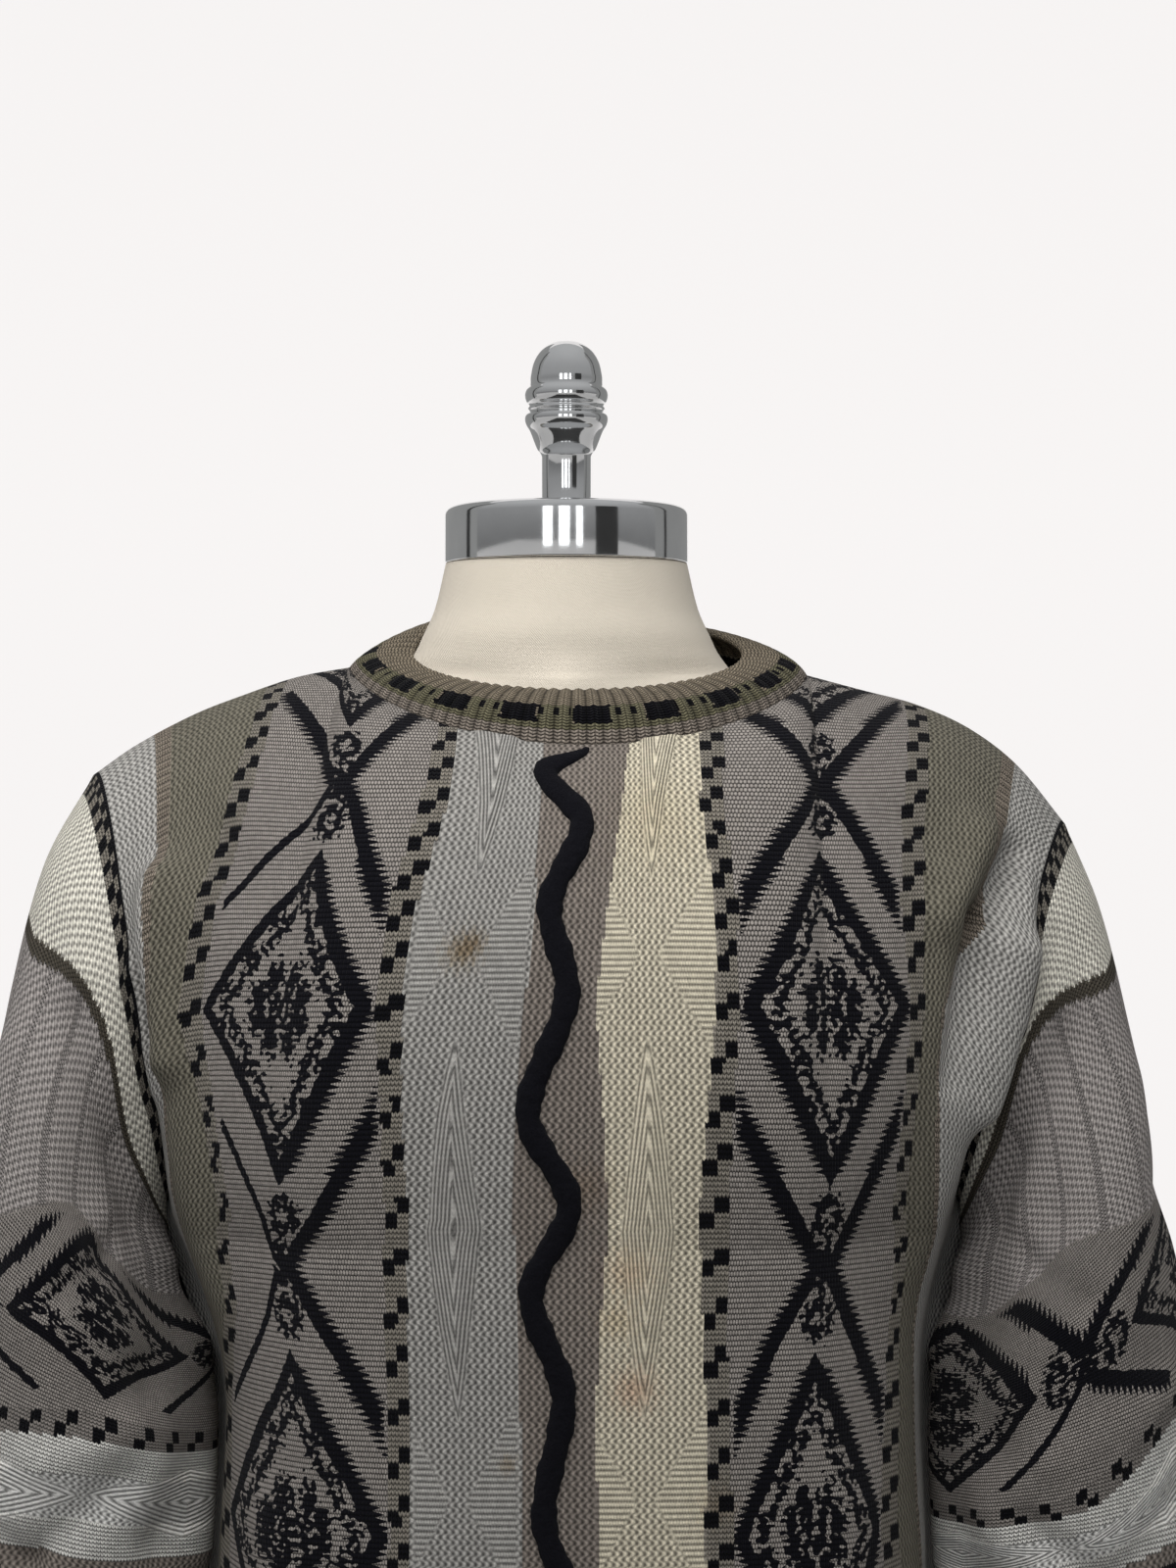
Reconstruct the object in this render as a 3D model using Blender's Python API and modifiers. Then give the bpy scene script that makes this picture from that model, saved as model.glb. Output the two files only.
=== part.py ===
# A knitted crew-neck sweater on a limbless dress form with a chrome cap and finial.
# Metres, +Z up. The front faces -Y, and the origin is the centre of the stand's underside.

import math
from bisect import bisect_right

import bpy
import numpy as np

# Cloth
WALL = 0.0022
SEAM_GAP = 0.0003
ARMHOLE_GAP = 0.0010
THINNEST_MITRE = 0.6
CORNER_WEIGHT = 0.5

# The body, laid flat: distances from the centre line
PANEL_HALF = 0.280
NECK_POINT_LEFT = -0.145
NECK_POINT_RIGHT = 0.1235

# Heights on the body
PANEL_FOOT = 0.765
UNDERARM = 1.150
HEM_FOOT = 0.700
LOW_ROWS = 14
HIGH_ROWS = 12

# Rings of the body:
# height, half width left, half width right, depth in front, depth behind, squareness
BODY_RINGS = (
    (0.765, 0.164, 0.166, 0.142, 0.128, 2.8),
    (0.860, 0.170, 0.172, 0.150, 0.133, 2.9),
    (0.966, 0.174, 0.180, 0.153, 0.133, 3.0),
    (1.066, 0.170, 0.177, 0.155, 0.131, 3.0),
    (1.105, 0.179, 0.181, 0.157, 0.131, 2.7),
    (1.150, 0.198, 0.194, 0.159, 0.131, 2.4),
)

# Vertical strips of the front: left edge, right edge, columns of the mesh
FRONT_STRIPS = (
    (-0.280, -0.235, 3),
    (-0.235, -0.192, 3),
    (-0.192, -0.178, 1),
    (-0.178, -0.145, 2),
    (-0.145, -0.089, 3),
    (-0.089, -0.075, 1),
    (-0.075, -0.012, 7),
    (-0.012, 0.018, 2),
    (0.018, 0.075, 6),
    (0.075, 0.089, 1),
    (0.089, 0.1235, 2),
    (0.1235, 0.178, 3),
    (0.178, 0.192, 1),
    (0.192, 0.235, 3),
    (0.235, 0.280, 3),
)
BACK_COLUMNS_INSIDE_NECK = 10

# The neck seam, a tilted loop round the centre below
NECK_X = 0.006
NECK_HALF_WIDTH = 0.116
NECK_SIDE_HEIGHT = 1.4235
NECK_SIDE_TILT = 0.002
NECK_FRONT = 0.100
NECK_FRONT_DROP = 0.0385
NECK_BACK = 0.096
NECK_BACK_RISE = 0.020
NECK_DIP_POWER = 1.4
NECK_SIDE_UP = 0.86
NECK_ENDS_LEAN = 0.33

# Where the columns of a panel meet the neck seam: flat distance, turn from the front in degrees
FRONT_NECK_TURNS = ((-0.145, -90), (-0.082, -34), (0.0, 1), (0.082, 37), (0.1235, 90))
BACK_NECK_TURNS = ((-0.145, -90), (-0.080, -38), (0.0, 1), (0.072, 38), (0.1235, 90))

# Shoulder seams from the neck to the tip: share of the seam, across, height
SHOULDER_LEFT = (
    (0.00, -0.1100, 1.4255),
    (0.20, -0.1370, 1.4205),
    (0.42, -0.1650, 1.4110),
    (0.62, -0.1900, 1.4010),
    (0.84, -0.2200, 1.3850),
    (1.00, -0.2415, 1.3700),
)
SHOULDER_RIGHT = (
    (0.00, 0.1220, 1.4215),
    (0.18, 0.1500, 1.4140),
    (0.38, 0.1780, 1.4065),
    (0.58, 0.2050, 1.3940),
    (0.78, 0.2300, 1.3745),
    (1.00, 0.2545, 1.3445),
)

# How a column leaves the underarm's level and reaches its top: forward and up, scaled lengths
CHEST_LEAVE = (0.035, 0.270)
SHOULDER_BLADE_LEAVE = (0.030, 0.300)
SIDE_FULLNESS = 0.110
SIDE_FULLNESS_FROM = 0.04
SIDE_FULLNESS_OVER = 0.12
ARMHOLE_LEAVE = (0.300, 0.100)
FRONT_NECK_REACH = (0.200, 0.150)
BACK_NECK_REACH = (0.120, 0.220)
SHOULDER_REACH = 0.300
ARMHOLE_OUTWARD = 0.080
ARMHOLE_BLEND_FROM = 0.62

# Sleeves, stations from the armhole to the cuff:
# share of the length, outer edge x and z, inner edge x and z, middle y, half depth in front, behind
SLEEVE_LEFT = (
    (0.00, -0.2415, 1.3700, -0.1980, 1.1500, 0.000, 0.075, 0.072),
    (0.10, -0.2655, 1.3260, -0.2060, 1.1320, -0.002, 0.082, 0.076),
    (0.22, -0.2800, 1.2660, -0.2040, 1.1080, -0.006, 0.086, 0.078),
    (0.36, -0.2900, 1.1960, -0.1890, 1.0820, -0.012, 0.086, 0.076),
    (0.52, -0.3020, 1.1160, -0.1800, 1.0520, -0.018, 0.082, 0.072),
    (0.68, -0.3110, 1.0360, -0.1810, 1.0060, -0.022, 0.076, 0.068),
    (0.84, -0.3060, 0.9520, -0.1860, 0.9420, -0.022, 0.066, 0.060),
    (1.00, -0.2900, 0.8700, -0.1920, 0.8700, -0.020, 0.054, 0.050),
)
SLEEVE_RIGHT = (
    (0.00, 0.2545, 1.3445, 0.1940, 1.1500, 0.000, 0.075, 0.072),
    (0.10, 0.2715, 1.3020, 0.2040, 1.1300, -0.002, 0.082, 0.076),
    (0.22, 0.2840, 1.2470, 0.2050, 1.1060, -0.006, 0.086, 0.078),
    (0.36, 0.2960, 1.1820, 0.1950, 1.0820, -0.012, 0.086, 0.076),
    (0.52, 0.3100, 1.1080, 0.1870, 1.0480, -0.018, 0.082, 0.072),
    (0.68, 0.3180, 1.0300, 0.1880, 1.0020, -0.022, 0.076, 0.068),
    (0.84, 0.3130, 0.9460, 0.1920, 0.9360, -0.022, 0.066, 0.060),
    (1.00, 0.2980, 0.8620, 0.1980, 0.8620, -0.020, 0.054, 0.050),
)
SLEEVE_ROWS = 17
SLEEVE_HEAD_SHARE = 0.30

# Cuffs: share of the height, share of the sleeve end's size
CUFF_HEIGHT = 0.065
CUFF_RINGS = ((0.0, 1.0), (0.18, 0.80), (1.0, 0.76))

# Hem rib: share of the height from the panel's foot, share of the panel's size
HEM_RINGS = ((0.0, 1.0), (1.0, 0.955))

# Neckband
BAND_RIBS = 84
BAND_RIB_DEPTH = 0.0009
BAND_WALL = 0.0030
BAND_TOP_HALF_WIDTH = 0.0845
BAND_TOP_FRONT = 0.083
BAND_TOP_BACK = 0.078
BAND_TOP_HEIGHT = 1.4335
BAND_TOP_TILT = 0.0215
BAND_BACK_LEFT_RISE = 0.014
BAND_BULGE = 0.0055

# Leaf cables raised on the front: flat distance of the axis, half width
LEAF_CABLES = ((-0.047, 0.024), (0.044, 0.023))
CABLE_PERIOD = 0.240
CABLE_CENTRE = 1.168
CABLE_HALF_LENGTH = 0.080
CABLE_HEIGHT = 0.0022

# Wavy cord on the front, from the neck down: height, distance across
CORD_TURNS = (
    (1.3720, -0.0092),
    (1.3480, 0.0082),
    (1.3088, -0.0069),
    (1.2712, 0.0014),
    (1.2137, -0.0168),
    (1.1713, 0.0023),
    (1.1295, -0.0154),
    (1.0810, -0.0004),
    (1.0259, -0.0095),
)
CORD_TOP = (1.3790, 0.0080)
CORD_LOWER_TURN = 0.048
CORD_LOWER_SWING = 0.0085
CORD_FOOT = 0.775
CORD_WIDTH = 0.0105
CORD_HEIGHT = 0.0042
CORD_LIFT = 0.0009
CORD_STEPS = 52

# Main folds: one end, other end, half width, height (a trough is negative)
FOLDS = (
    ((-0.190, -0.090, 1.300), (-0.184, -0.098, 1.120), 0.024, 0.007),
    ((-0.226, -0.070, 1.285), (-0.214, -0.072, 1.190), 0.020, -0.004),
    ((0.200, -0.085, 1.305), (0.188, -0.095, 1.150), 0.024, 0.007),
    ((0.232, -0.066, 1.280), (0.216, -0.070, 1.190), 0.020, -0.004),
    ((-0.157, -0.060, 1.345), (-0.200, -0.078, 1.285), 0.018, 0.005),
    ((0.175, -0.075, 1.325), (0.205, -0.075, 1.290), 0.018, 0.005),
    ((-0.200, -0.080, 1.075), (-0.300, -0.050, 1.095), 0.014, -0.006),
    ((-0.205, -0.080, 1.038), (-0.305, -0.040, 1.052), 0.018, 0.007),
    ((-0.195, -0.070, 0.995), (-0.300, -0.040, 1.010), 0.014, -0.007),
    ((0.205, -0.080, 1.045), (0.300, -0.050, 1.085), 0.014, -0.006),
    ((0.210, -0.080, 1.008), (0.310, -0.040, 1.040), 0.018, 0.007),
    ((0.200, -0.070, 0.965), (0.305, -0.040, 0.990), 0.014, -0.007),
    ((-0.135, -0.120, 1.010), (-0.125, -0.120, 0.800), 0.022, 0.006),
    ((0.130, -0.125, 1.020), (0.140, -0.110, 0.800), 0.022, 0.006),
    ((-0.195, 0.070, 1.300), (-0.120, 0.125, 1.120), 0.024, 0.008),
    ((0.195, 0.070, 1.290), (0.110, 0.125, 1.130), 0.024, 0.008),
    ((-0.060, 0.130, 1.080), (-0.075, 0.125, 0.850), 0.028, 0.006),
    ((0.080, 0.130, 1.050), (0.065, 0.125, 0.830), 0.028, 0.006),
)

# Torso and neck of the form:
# height, half width, depth in front, depth behind, squareness
FORM_RINGS = (
    (0.780, 0.138, 0.112, 0.100, 2.5),
    (0.790, 0.150, 0.122, 0.110, 2.4),
    (0.860, 0.157, 0.130, 0.116, 2.3),
    (0.960, 0.151, 0.122, 0.104, 2.2),
    (1.050, 0.152, 0.126, 0.102, 2.2),
    (1.150, 0.168, 0.142, 0.112, 2.2),
    (1.250, 0.184, 0.144, 0.117, 2.2),
    (1.310, 0.194, 0.131, 0.111, 2.2),
    (1.350, 0.201, 0.108, 0.098, 2.0),
    (1.375, 0.203, 0.090, 0.088, 1.8),
    (1.388, 0.199, 0.081, 0.082, 1.6),
    (1.3977, 0.190, 0.074, 0.079, 1.40),
    (1.4057, 0.170, 0.072, 0.078, 1.26),
    (1.4110, 0.150, 0.070, 0.076, 1.22),
    (1.4150, 0.128, 0.069, 0.074, 1.26),
    (1.4178, 0.108, 0.068, 0.072, 1.36),
    (1.4210, 0.088, 0.066, 0.070, 1.58),
    (1.4300, 0.0740, 0.064, 0.067, 1.90),
    (1.4410, 0.0700, 0.064, 0.064, 2.0),
    (1.4550, 0.0655, 0.062, 0.062, 2.0),
    (1.4780, 0.0615, 0.060, 0.060, 2.0),
)
FORM_SEGMENTS = 28

# Chrome cap and finial, turned: radius, height above the piece's foot
CAP_FOOT = 1.4783
CAP_PROFILE = (
    (0.0000, 0.0290),
    (0.0560, 0.0290),
    (0.0590, 0.0283),
    (0.0612, 0.0266),
    (0.0620, 0.0240),
    (0.0620, 0.0008),
    (0.0612, 0.0000),
    (0.0000, 0.0000),
)
FINIAL_FOOT = 1.5076
FINIAL_PROFILE = (
    (0.0000, 0.0842),
    (0.0070, 0.0832),
    (0.0128, 0.0795),
    (0.0166, 0.0735),
    (0.0183, 0.0660),
    (0.0186, 0.0615),
    (0.0206, 0.0590),
    (0.0212, 0.0562),
    (0.0204, 0.0530),
    (0.0190, 0.0512),
    (0.0196, 0.0496),
    (0.0188, 0.0480),
    (0.0208, 0.0462),
    (0.0212, 0.0438),
    (0.0204, 0.0410),
    (0.0186, 0.0380),
    (0.0150, 0.0290),
    (0.0125, 0.0250),
    (0.0125, 0.0030),
    (0.0150, 0.0010),
    (0.0150, 0.0000),
    (0.0000, 0.0000),
)
TURNED_STEPS = 20

# Stand
POLE_RADIUS = 0.0125
POLE_TOP = 0.7797
BASE_PROFILE = (
    (0.0000, 0.0260),
    (0.0200, 0.0260),
    (0.0280, 0.0225),
    (0.0340, 0.0160),
    (0.1700, 0.0130),
    (0.1850, 0.0105),
    (0.1900, 0.0060),
    (0.1880, 0.0000),
    (0.0000, 0.0000),
)

# Finishes: colour, roughness, metallic
FINISHES = {
    "taupe_knit": ((0.300, 0.265, 0.240), 0.92, 0.0),
    "olive_rib": ((0.200, 0.175, 0.140), 0.92, 0.0),
    "black_cord": ((0.010, 0.010, 0.014), 0.95, 0.0),
    "form_twill": ((0.700, 0.650, 0.560), 0.88, 0.0),
    "chrome": ((0.800, 0.805, 0.810), 0.08, 1.0),
}


def clear_scene():
    for item in list(bpy.data.objects):
        bpy.data.objects.remove(item, do_unlink=True)


def hermite(start, leave, end, reach, share):
    """A point of the cubic from start to end with the tangents leave and reach."""
    squared = share * share
    cubed = squared * share
    return (
        (2 * cubed - 3 * squared + 1) * start
        + (cubed - 2 * squared + share) * leave
        + (3 * squared - 2 * cubed) * end
        + (cubed - squared) * reach
    )


def unit(vectors):
    return vectors / np.linalg.norm(vectors, axis=-1)[..., None]


def ease(value):
    value = np.clip(value, 0.0, 1.0)
    return value * value * (3.0 - 2.0 * value)


def along(rows, place):
    """The other columns of a table at a place in its first column, on a smooth curve."""
    keys = [row[0] for row in rows]
    place = min(max(place, keys[0]), keys[-1])
    index = min(max(bisect_right(keys, place) - 1, 0), len(rows) - 2)
    span = keys[index + 1] - keys[index]

    def slope(at):
        low = max(at - 1, 0)
        high = min(at + 1, len(rows) - 1)
        return (np.array(rows[high][1:]) - np.array(rows[low][1:])) / (keys[high] - keys[low])

    start = np.array(rows[index][1:])
    end = np.array(rows[index + 1][1:])
    share = (place - keys[index]) / span
    return hermite(start, slope(index) * span, end, slope(index + 1) * span, share)


def squared_arc(half_width, depth, squareness, shares):
    """Points of a quarter of a squared ellipse, at even shares of its length from the middle."""
    turns = np.linspace(0.0, math.pi / 2, 61)
    across = half_width * np.sin(turns) ** (2.0 / squareness)
    out = depth * np.cos(turns) ** (2.0 / squareness)
    lengths = np.concatenate(([0.0], np.cumsum(np.hypot(np.diff(across), np.diff(out)))))
    places = shares * lengths[-1]
    return np.interp(places, lengths, across), np.interp(places, lengths, out)


def body_ring(front, height, flats):
    """Half a ring of the body, front or back, at the columns' flat distances."""
    left, right, ahead, behind, squareness = along(BODY_RINGS, height)
    depth = ahead if front else behind
    shares = np.abs(flats) / PANEL_HALF
    points = np.zeros((len(flats), 3))
    for side, half_width in ((-1, left), (1, right)):
        chosen = flats * side > 0 if side > 0 else flats <= 0
        across, out = squared_arc(half_width, depth, squareness, shares[chosen])
        points[chosen, 0] = side * across
        points[chosen, 1] = -out if front else out
    points[:, 2] = height
    return points


def neck_seam_point(turn):
    """A point of the neck seam at a turn from the front, in radians."""
    ahead = math.cos(turn)
    across = math.sin(turn)
    depth = NECK_FRONT if ahead > 0 else NECK_BACK
    rise = -NECK_FRONT_DROP if ahead > 0 else NECK_BACK_RISE
    height = NECK_SIDE_HEIGHT - NECK_SIDE_TILT * across + rise * abs(ahead) ** NECK_DIP_POWER
    return np.array((NECK_X + NECK_HALF_WIDTH * across, -depth * ahead, height))


def armhole_weight(flats):
    """How much a column follows the armhole's edge, from 0 inside to 1 at the edge."""
    return ease((np.abs(flats) / PANEL_HALF - ARMHOLE_BLEND_FROM) / (1.0 - ARMHOLE_BLEND_FROM))


def top_edge(front, flats):
    """The panel's top edge: shoulder, neck and shoulder, with how its columns reach it."""
    points = np.zeros((len(flats), 3))
    reaches = np.zeros((len(flats), 3))
    facing = 1.0 if front else -1.0
    neck_reach = FRONT_NECK_REACH if front else BACK_NECK_REACH
    turns = FRONT_NECK_TURNS if front else BACK_NECK_TURNS
    for column, flat in enumerate(flats):
        if NECK_POINT_LEFT < flat < NECK_POINT_RIGHT:
            turn = math.radians(float(along(turns, flat)[0]))
            points[column] = neck_seam_point(turn if front else math.pi - turn)
            middle = math.cos(turn)
            inward = middle * neck_reach[0] + (1.0 - middle) * SHOULDER_REACH
            reaches[column] = (0.0, facing * inward, middle * neck_reach[1])
            continue
        neck_point = NECK_POINT_RIGHT if flat > 0 else NECK_POINT_LEFT
        table = SHOULDER_RIGHT if flat > 0 else SHOULDER_LEFT
        share = (abs(flat) - abs(neck_point)) / (PANEL_HALF - abs(neck_point))
        across, height = along(table, share)
        points[column] = (across, 0.0, height)
        outward = along(table, 1.0) - along(table, 0.97)
        outward *= ARMHOLE_OUTWARD * armhole_weight(flat) / np.linalg.norm(outward)
        reaches[column] = (outward[0], facing * SHOULDER_REACH, outward[1])
    return points, reaches


def panel_grid(front, flats):
    """The outer face of a body panel: rows from the foot up, columns from left to right."""
    rows = [body_ring(front, height, flats) for height in np.linspace(PANEL_FOOT, UNDERARM, LOW_ROWS + 1)]
    start = rows[-1]
    end, reach = top_edge(front, flats)
    facing = -1.0 if front else 1.0
    middle_leave = CHEST_LEAVE if front else SHOULDER_BLADE_LEAVE
    weight = armhole_weight(flats)[:, None]
    fullness = SIDE_FULLNESS * ease((np.abs(flats) - SIDE_FULLNESS_FROM) / SIDE_FULLNESS_OVER)
    inside = np.zeros((len(flats), 3))
    inside[:, 1] = facing * (middle_leave[0] + fullness)
    inside[:, 2] = middle_leave[1]
    edge = np.array((0.0, facing * ARMHOLE_LEAVE[0], ARMHOLE_LEAVE[1]))
    leave = inside * (1.0 - weight) + edge * weight
    for share in np.linspace(0.0, 1.0, HIGH_ROWS + 1)[1:]:
        rows.append(hermite(start, leave, end, reach, share))
    return np.array(rows)


def sleeve_grid(stations, armhole):
    """The outer face of a sleeve: rows from the armhole to the cuff, columns round it."""
    columns = len(armhole)
    turns = np.arange(columns) * 2 * math.pi / columns
    rows = []
    for share in np.linspace(0.0, 1.0, SLEEVE_ROWS + 1):
        outer_x, outer_z, inner_x, inner_z, middle_y, ahead, behind = along(stations, share)
        outer = np.array((outer_x, middle_y, outer_z))
        inner = np.array((inner_x, middle_y, inner_z))
        depth = np.where(np.sin(turns) > 0, ahead, behind)
        ring = (
            (outer + inner) / 2
            + np.cos(turns)[:, None] * (outer - inner) / 2
            + (np.sin(turns) * depth)[:, None] * np.array((0.0, -1.0, 0.0))
        )
        if share == 0.0:
            correction = armhole - ring
        fade = 1.0 - ease(share / SLEEVE_HEAD_SHARE)
        rows.append(ring + correction * fade)
    return np.array(rows)


def cuff_grid(sleeve):
    """A cuff below the sleeve's last row."""
    ring = sleeve[-1]
    centre = ring.mean(axis=0)
    rows = []
    for share, size in CUFF_RINGS:
        row = centre + (ring - centre) * size
        row[:, 2] = ring[:, 2] - share * CUFF_HEIGHT
        rows.append(row)
    return np.array(rows)


def hem_grid(foot):
    """The hem rib below the foot of the body, rows from its own foot up."""
    centre = foot.mean(axis=0)
    rows = []
    for share, size in reversed(HEM_RINGS):
        row = centre + (foot - centre) * size
        row[:, 2] = foot[:, 2] - share * (PANEL_FOOT - HEM_FOOT)
        rows.append(row)
    return np.array(rows)


def neck_turn(point):
    """The turn from the front, in radians, at which a point of the neck seam lies."""
    depth = NECK_FRONT if point[1] < 0 else NECK_BACK
    return math.atan2((point[0] - NECK_X) / NECK_HALF_WIDTH, -point[1] / depth)


def neck_seam_normals(points):
    """The direction that panel and neckband share at the neck seam, so that their walls meet."""
    normals = []
    for point in points:
        turn = neck_turn(point)
        up = NECK_SIDE_UP - NECK_ENDS_LEAN * abs(math.cos(turn))
        out = math.sqrt(1.0 - up * up)
        normals.append((out * math.sin(turn), -out * math.cos(turn), up))
    return np.array(normals)


def band_top_point(turn):
    """A point of the neckband's top edge at a turn from the front, in radians."""
    ahead = math.cos(turn)
    across = math.sin(turn)
    depth = BAND_TOP_FRONT if ahead > 0 else BAND_TOP_BACK
    rise = BAND_BACK_LEFT_RISE * max(0.0, -ahead) * max(0.0, -across)
    height = BAND_TOP_HEIGHT - BAND_TOP_TILT * ahead + rise
    return np.array((NECK_X + BAND_TOP_HALF_WIDTH * across, -depth * ahead, height))


def band_grid(seam):
    """The neckband's outer face, from the neck seam's loop of points up to its top edge."""
    closed = np.vstack((seam, seam[:1]))
    lengths = np.concatenate(([0.0], np.cumsum(np.linalg.norm(np.diff(closed, axis=0), axis=1))))
    columns = 2 * BAND_RIBS
    places = np.arange(columns) * lengths[-1] / columns
    foot = np.stack([np.interp(places, lengths, closed[:, axis]) for axis in range(3)], axis=1)
    top = np.array([band_top_point(neck_turn(point)) for point in foot])
    outward = foot - np.array((NECK_X, 0.0, NECK_SIDE_HEIGHT))
    outward[:, 2] = 0.10
    outward = unit(outward)
    middle = (foot + top) / 2 + outward * BAND_BULGE
    return np.array((foot, middle, top))


def grid_faces(rows, columns, wraps, first=0):
    """Quads of a grid of points, facing out where the columns run anticlockwise and the rows up."""
    faces = []
    for row in range(rows - 1):
        for column in range(columns if wraps else columns - 1):
            here = first + row * columns + column
            beside = first + row * columns + (column + 1) % columns
            faces.append((here, beside, beside + columns, here + columns))
    return faces


def own_normals(grid, wraps):
    """Normals of one grid's points, from the faces round each."""
    rows, columns = grid.shape[:2]
    points = grid.reshape(-1, 3)
    faces = np.array(grid_faces(rows, columns, wraps))
    corners = points[faces]
    crosses = np.cross(corners[:, 2] - corners[:, 0], corners[:, 3] - corners[:, 1])
    sums = np.zeros(points.shape)
    for corner in range(4):
        np.add.at(sums, faces[:, corner], crosses)
    return unit(sums).reshape(grid.shape)


def skin_normals(grids):
    """Normals of all the grids, where pieces that share a seam take the direction halfway between theirs."""
    points = np.concatenate([grid.reshape(-1, 3) for grid, _ in grids.values()])
    owned = []
    for grid, wraps in grids.values():
        weighted = own_normals(grid, wraps)
        if not wraps:
            weighted[[0, 0, -1, -1], [0, -1, 0, -1]] *= CORNER_WEIGHT
        owned.append(weighted.reshape(-1, 3))
    owned = np.concatenate(owned)
    _, index = np.unique(np.round(points, 6), axis=0, return_inverse=True)
    index = index.reshape(-1)
    sums = np.zeros((index.max() + 1, 3))
    np.add.at(sums, index, owned)
    shared = unit(sums[index])
    found = {}
    first = 0
    for name, (grid, _) in grids.items():
        count = grid.shape[0] * grid.shape[1]
        found[name] = shared[first : first + count].reshape(grid.shape)
        first += count
    return found


def fold_height(points):
    """How far the folds lift each point of the cloth."""
    total = np.zeros(points.shape[:-1])
    for one_end, other_end, half_width, height in FOLDS:
        one_end = np.array(one_end)
        run = np.array(other_end) - one_end
        share = ((points - one_end) @ run) / (run @ run)
        nearest = one_end + np.clip(share, 0.0, 1.0)[..., None] * run
        away = np.linalg.norm(points - nearest, axis=-1)
        total += height * np.exp(-((away / half_width) ** 2))
    return total


def cable_height(grid, flats):
    """How far the leaf cables rise from the front's outer face."""
    heights = grid[:, :, 2]
    rise = np.zeros(heights.shape)
    along_period = np.abs((heights - CABLE_CENTRE + CABLE_PERIOD / 2) % CABLE_PERIOD - CABLE_PERIOD / 2)
    for axis, half_width in LEAF_CABLES:
        leaf = 1.0 - along_period / CABLE_HALF_LENGTH - np.abs(flats - axis) / half_width
        rise = np.maximum(rise, CABLE_HEIGHT * ease(leaf * 2.0))
    return rise


def edge_steps(grid, normals, wraps):
    """At a piece's edges, the direction square to the seam that leads back into the piece."""
    steps = np.zeros(grid.shape)
    if wraps:
        over = unit(np.roll(grid, -1, axis=1) - np.roll(grid, 1, axis=1))
    else:
        over = unit(np.gradient(grid, axis=1))
        up = unit(np.gradient(grid, axis=0))
        steps[:, 0] += unit(np.cross(up[:, 0], normals[:, 0]))
        steps[:, -1] += unit(np.cross(normals[:, -1], up[:, -1]))
    steps[0] += unit(np.cross(normals[0], over[0]))
    steps[-1] += unit(np.cross(over[-1], normals[-1]))
    return steps


def rim_faces(points, count, here, beside):
    """The wall's end face between two edge points, split as the piece across the seam splits its own."""
    if points[here][2] > points[beside][2]:
        return [(here, beside, beside + count), (here, beside + count, here + count)]
    return [(here, beside, here + count), (beside, beside + count, here + count)]


def wall_mesh(name, outer, inner, wraps):
    """A closed wall between an outer and an inner grid of points."""
    rows, columns = outer.shape[:2]
    count = rows * columns
    points = np.concatenate((outer.reshape(-1, 3), inner.reshape(-1, 3)))
    faces = grid_faces(rows, columns, wraps)
    faces += [tuple(reversed([corner + count for corner in face])) for face in faces]
    last = (rows - 1) * columns
    for column in range(columns if wraps else columns - 1):
        beside = (column + 1) % columns
        faces += rim_faces(points, count, beside, column)
        faces += rim_faces(points, count, last + column, last + beside)
    if not wraps:
        for row in range(rows - 1):
            left = row * columns
            right = left + columns - 1
            faces += rim_faces(points, count, left, left + columns)
            faces += rim_faces(points, count, right + columns, right)
    mesh = bpy.data.meshes.new(name)
    mesh.from_pydata(points.tolist(), [], faces)
    return mesh


def add_object(name, mesh, finish, collection):
    mesh.shade_smooth()
    mesh.set_sharp_from_angle(angle=math.radians(50))
    mesh.materials.append(finish)
    item = bpy.data.objects.new(name, mesh)
    collection.objects.link(item)
    return item


def make_finishes():
    """One material for each finish."""
    made = {}
    for name, (colour, roughness, metallic) in FINISHES.items():
        finish = bpy.data.materials.new(name)
        finish.use_nodes = True
        shader = finish.node_tree.nodes["Principled BSDF"]
        shader.inputs["Base Color"].default_value = (*colour, 1.0)
        shader.inputs["Roughness"].default_value = roughness
        shader.inputs["Metallic"].default_value = metallic
        made[name] = finish
    return made


def front_columns():
    """Flat distances of the front's columns, from the strips."""
    flats = [FRONT_STRIPS[0][0]]
    for left, right, count in FRONT_STRIPS:
        flats += list(np.linspace(left, right, count + 1)[1:])
    return np.array(flats)


def back_columns(front_flats):
    """Flat distances of the back's columns: the front's at the shoulders, even ones inside the neck."""
    left = front_flats[front_flats < NECK_POINT_LEFT - 1e-6]
    right = front_flats[front_flats > NECK_POINT_RIGHT + 1e-6]
    inside = np.linspace(NECK_POINT_LEFT, NECK_POINT_RIGHT, BACK_COLUMNS_INSIDE_NECK + 1)
    return np.concatenate((left, inside, right))


def armhole_loop(front, back, column):
    """The armhole from the shoulder's tip down the front and up the back."""
    ahead = front[LOW_ROWS:, column][::-1]
    behind = back[LOW_ROWS + 1 : -1, column]
    return np.vstack((ahead, behind))


def inside_neck(flats):
    """Which columns of a panel end at the neck seam."""
    return (flats > NECK_POINT_LEFT - 1e-6) & (flats < NECK_POINT_RIGHT + 1e-6)


def neck_loop(front, back, front_flats, back_flats):
    """The neck seam from the front's middle round to the right, back and left."""
    ahead = front[-1][inside_neck(front_flats)]
    behind = back[-1][inside_neck(back_flats)][1:-1]
    loop = np.vstack((ahead, behind[::-1]))
    middle = int(np.argmin(np.abs(ahead[:, 0] - NECK_X)))
    return np.roll(loop, -middle, axis=0)


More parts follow.
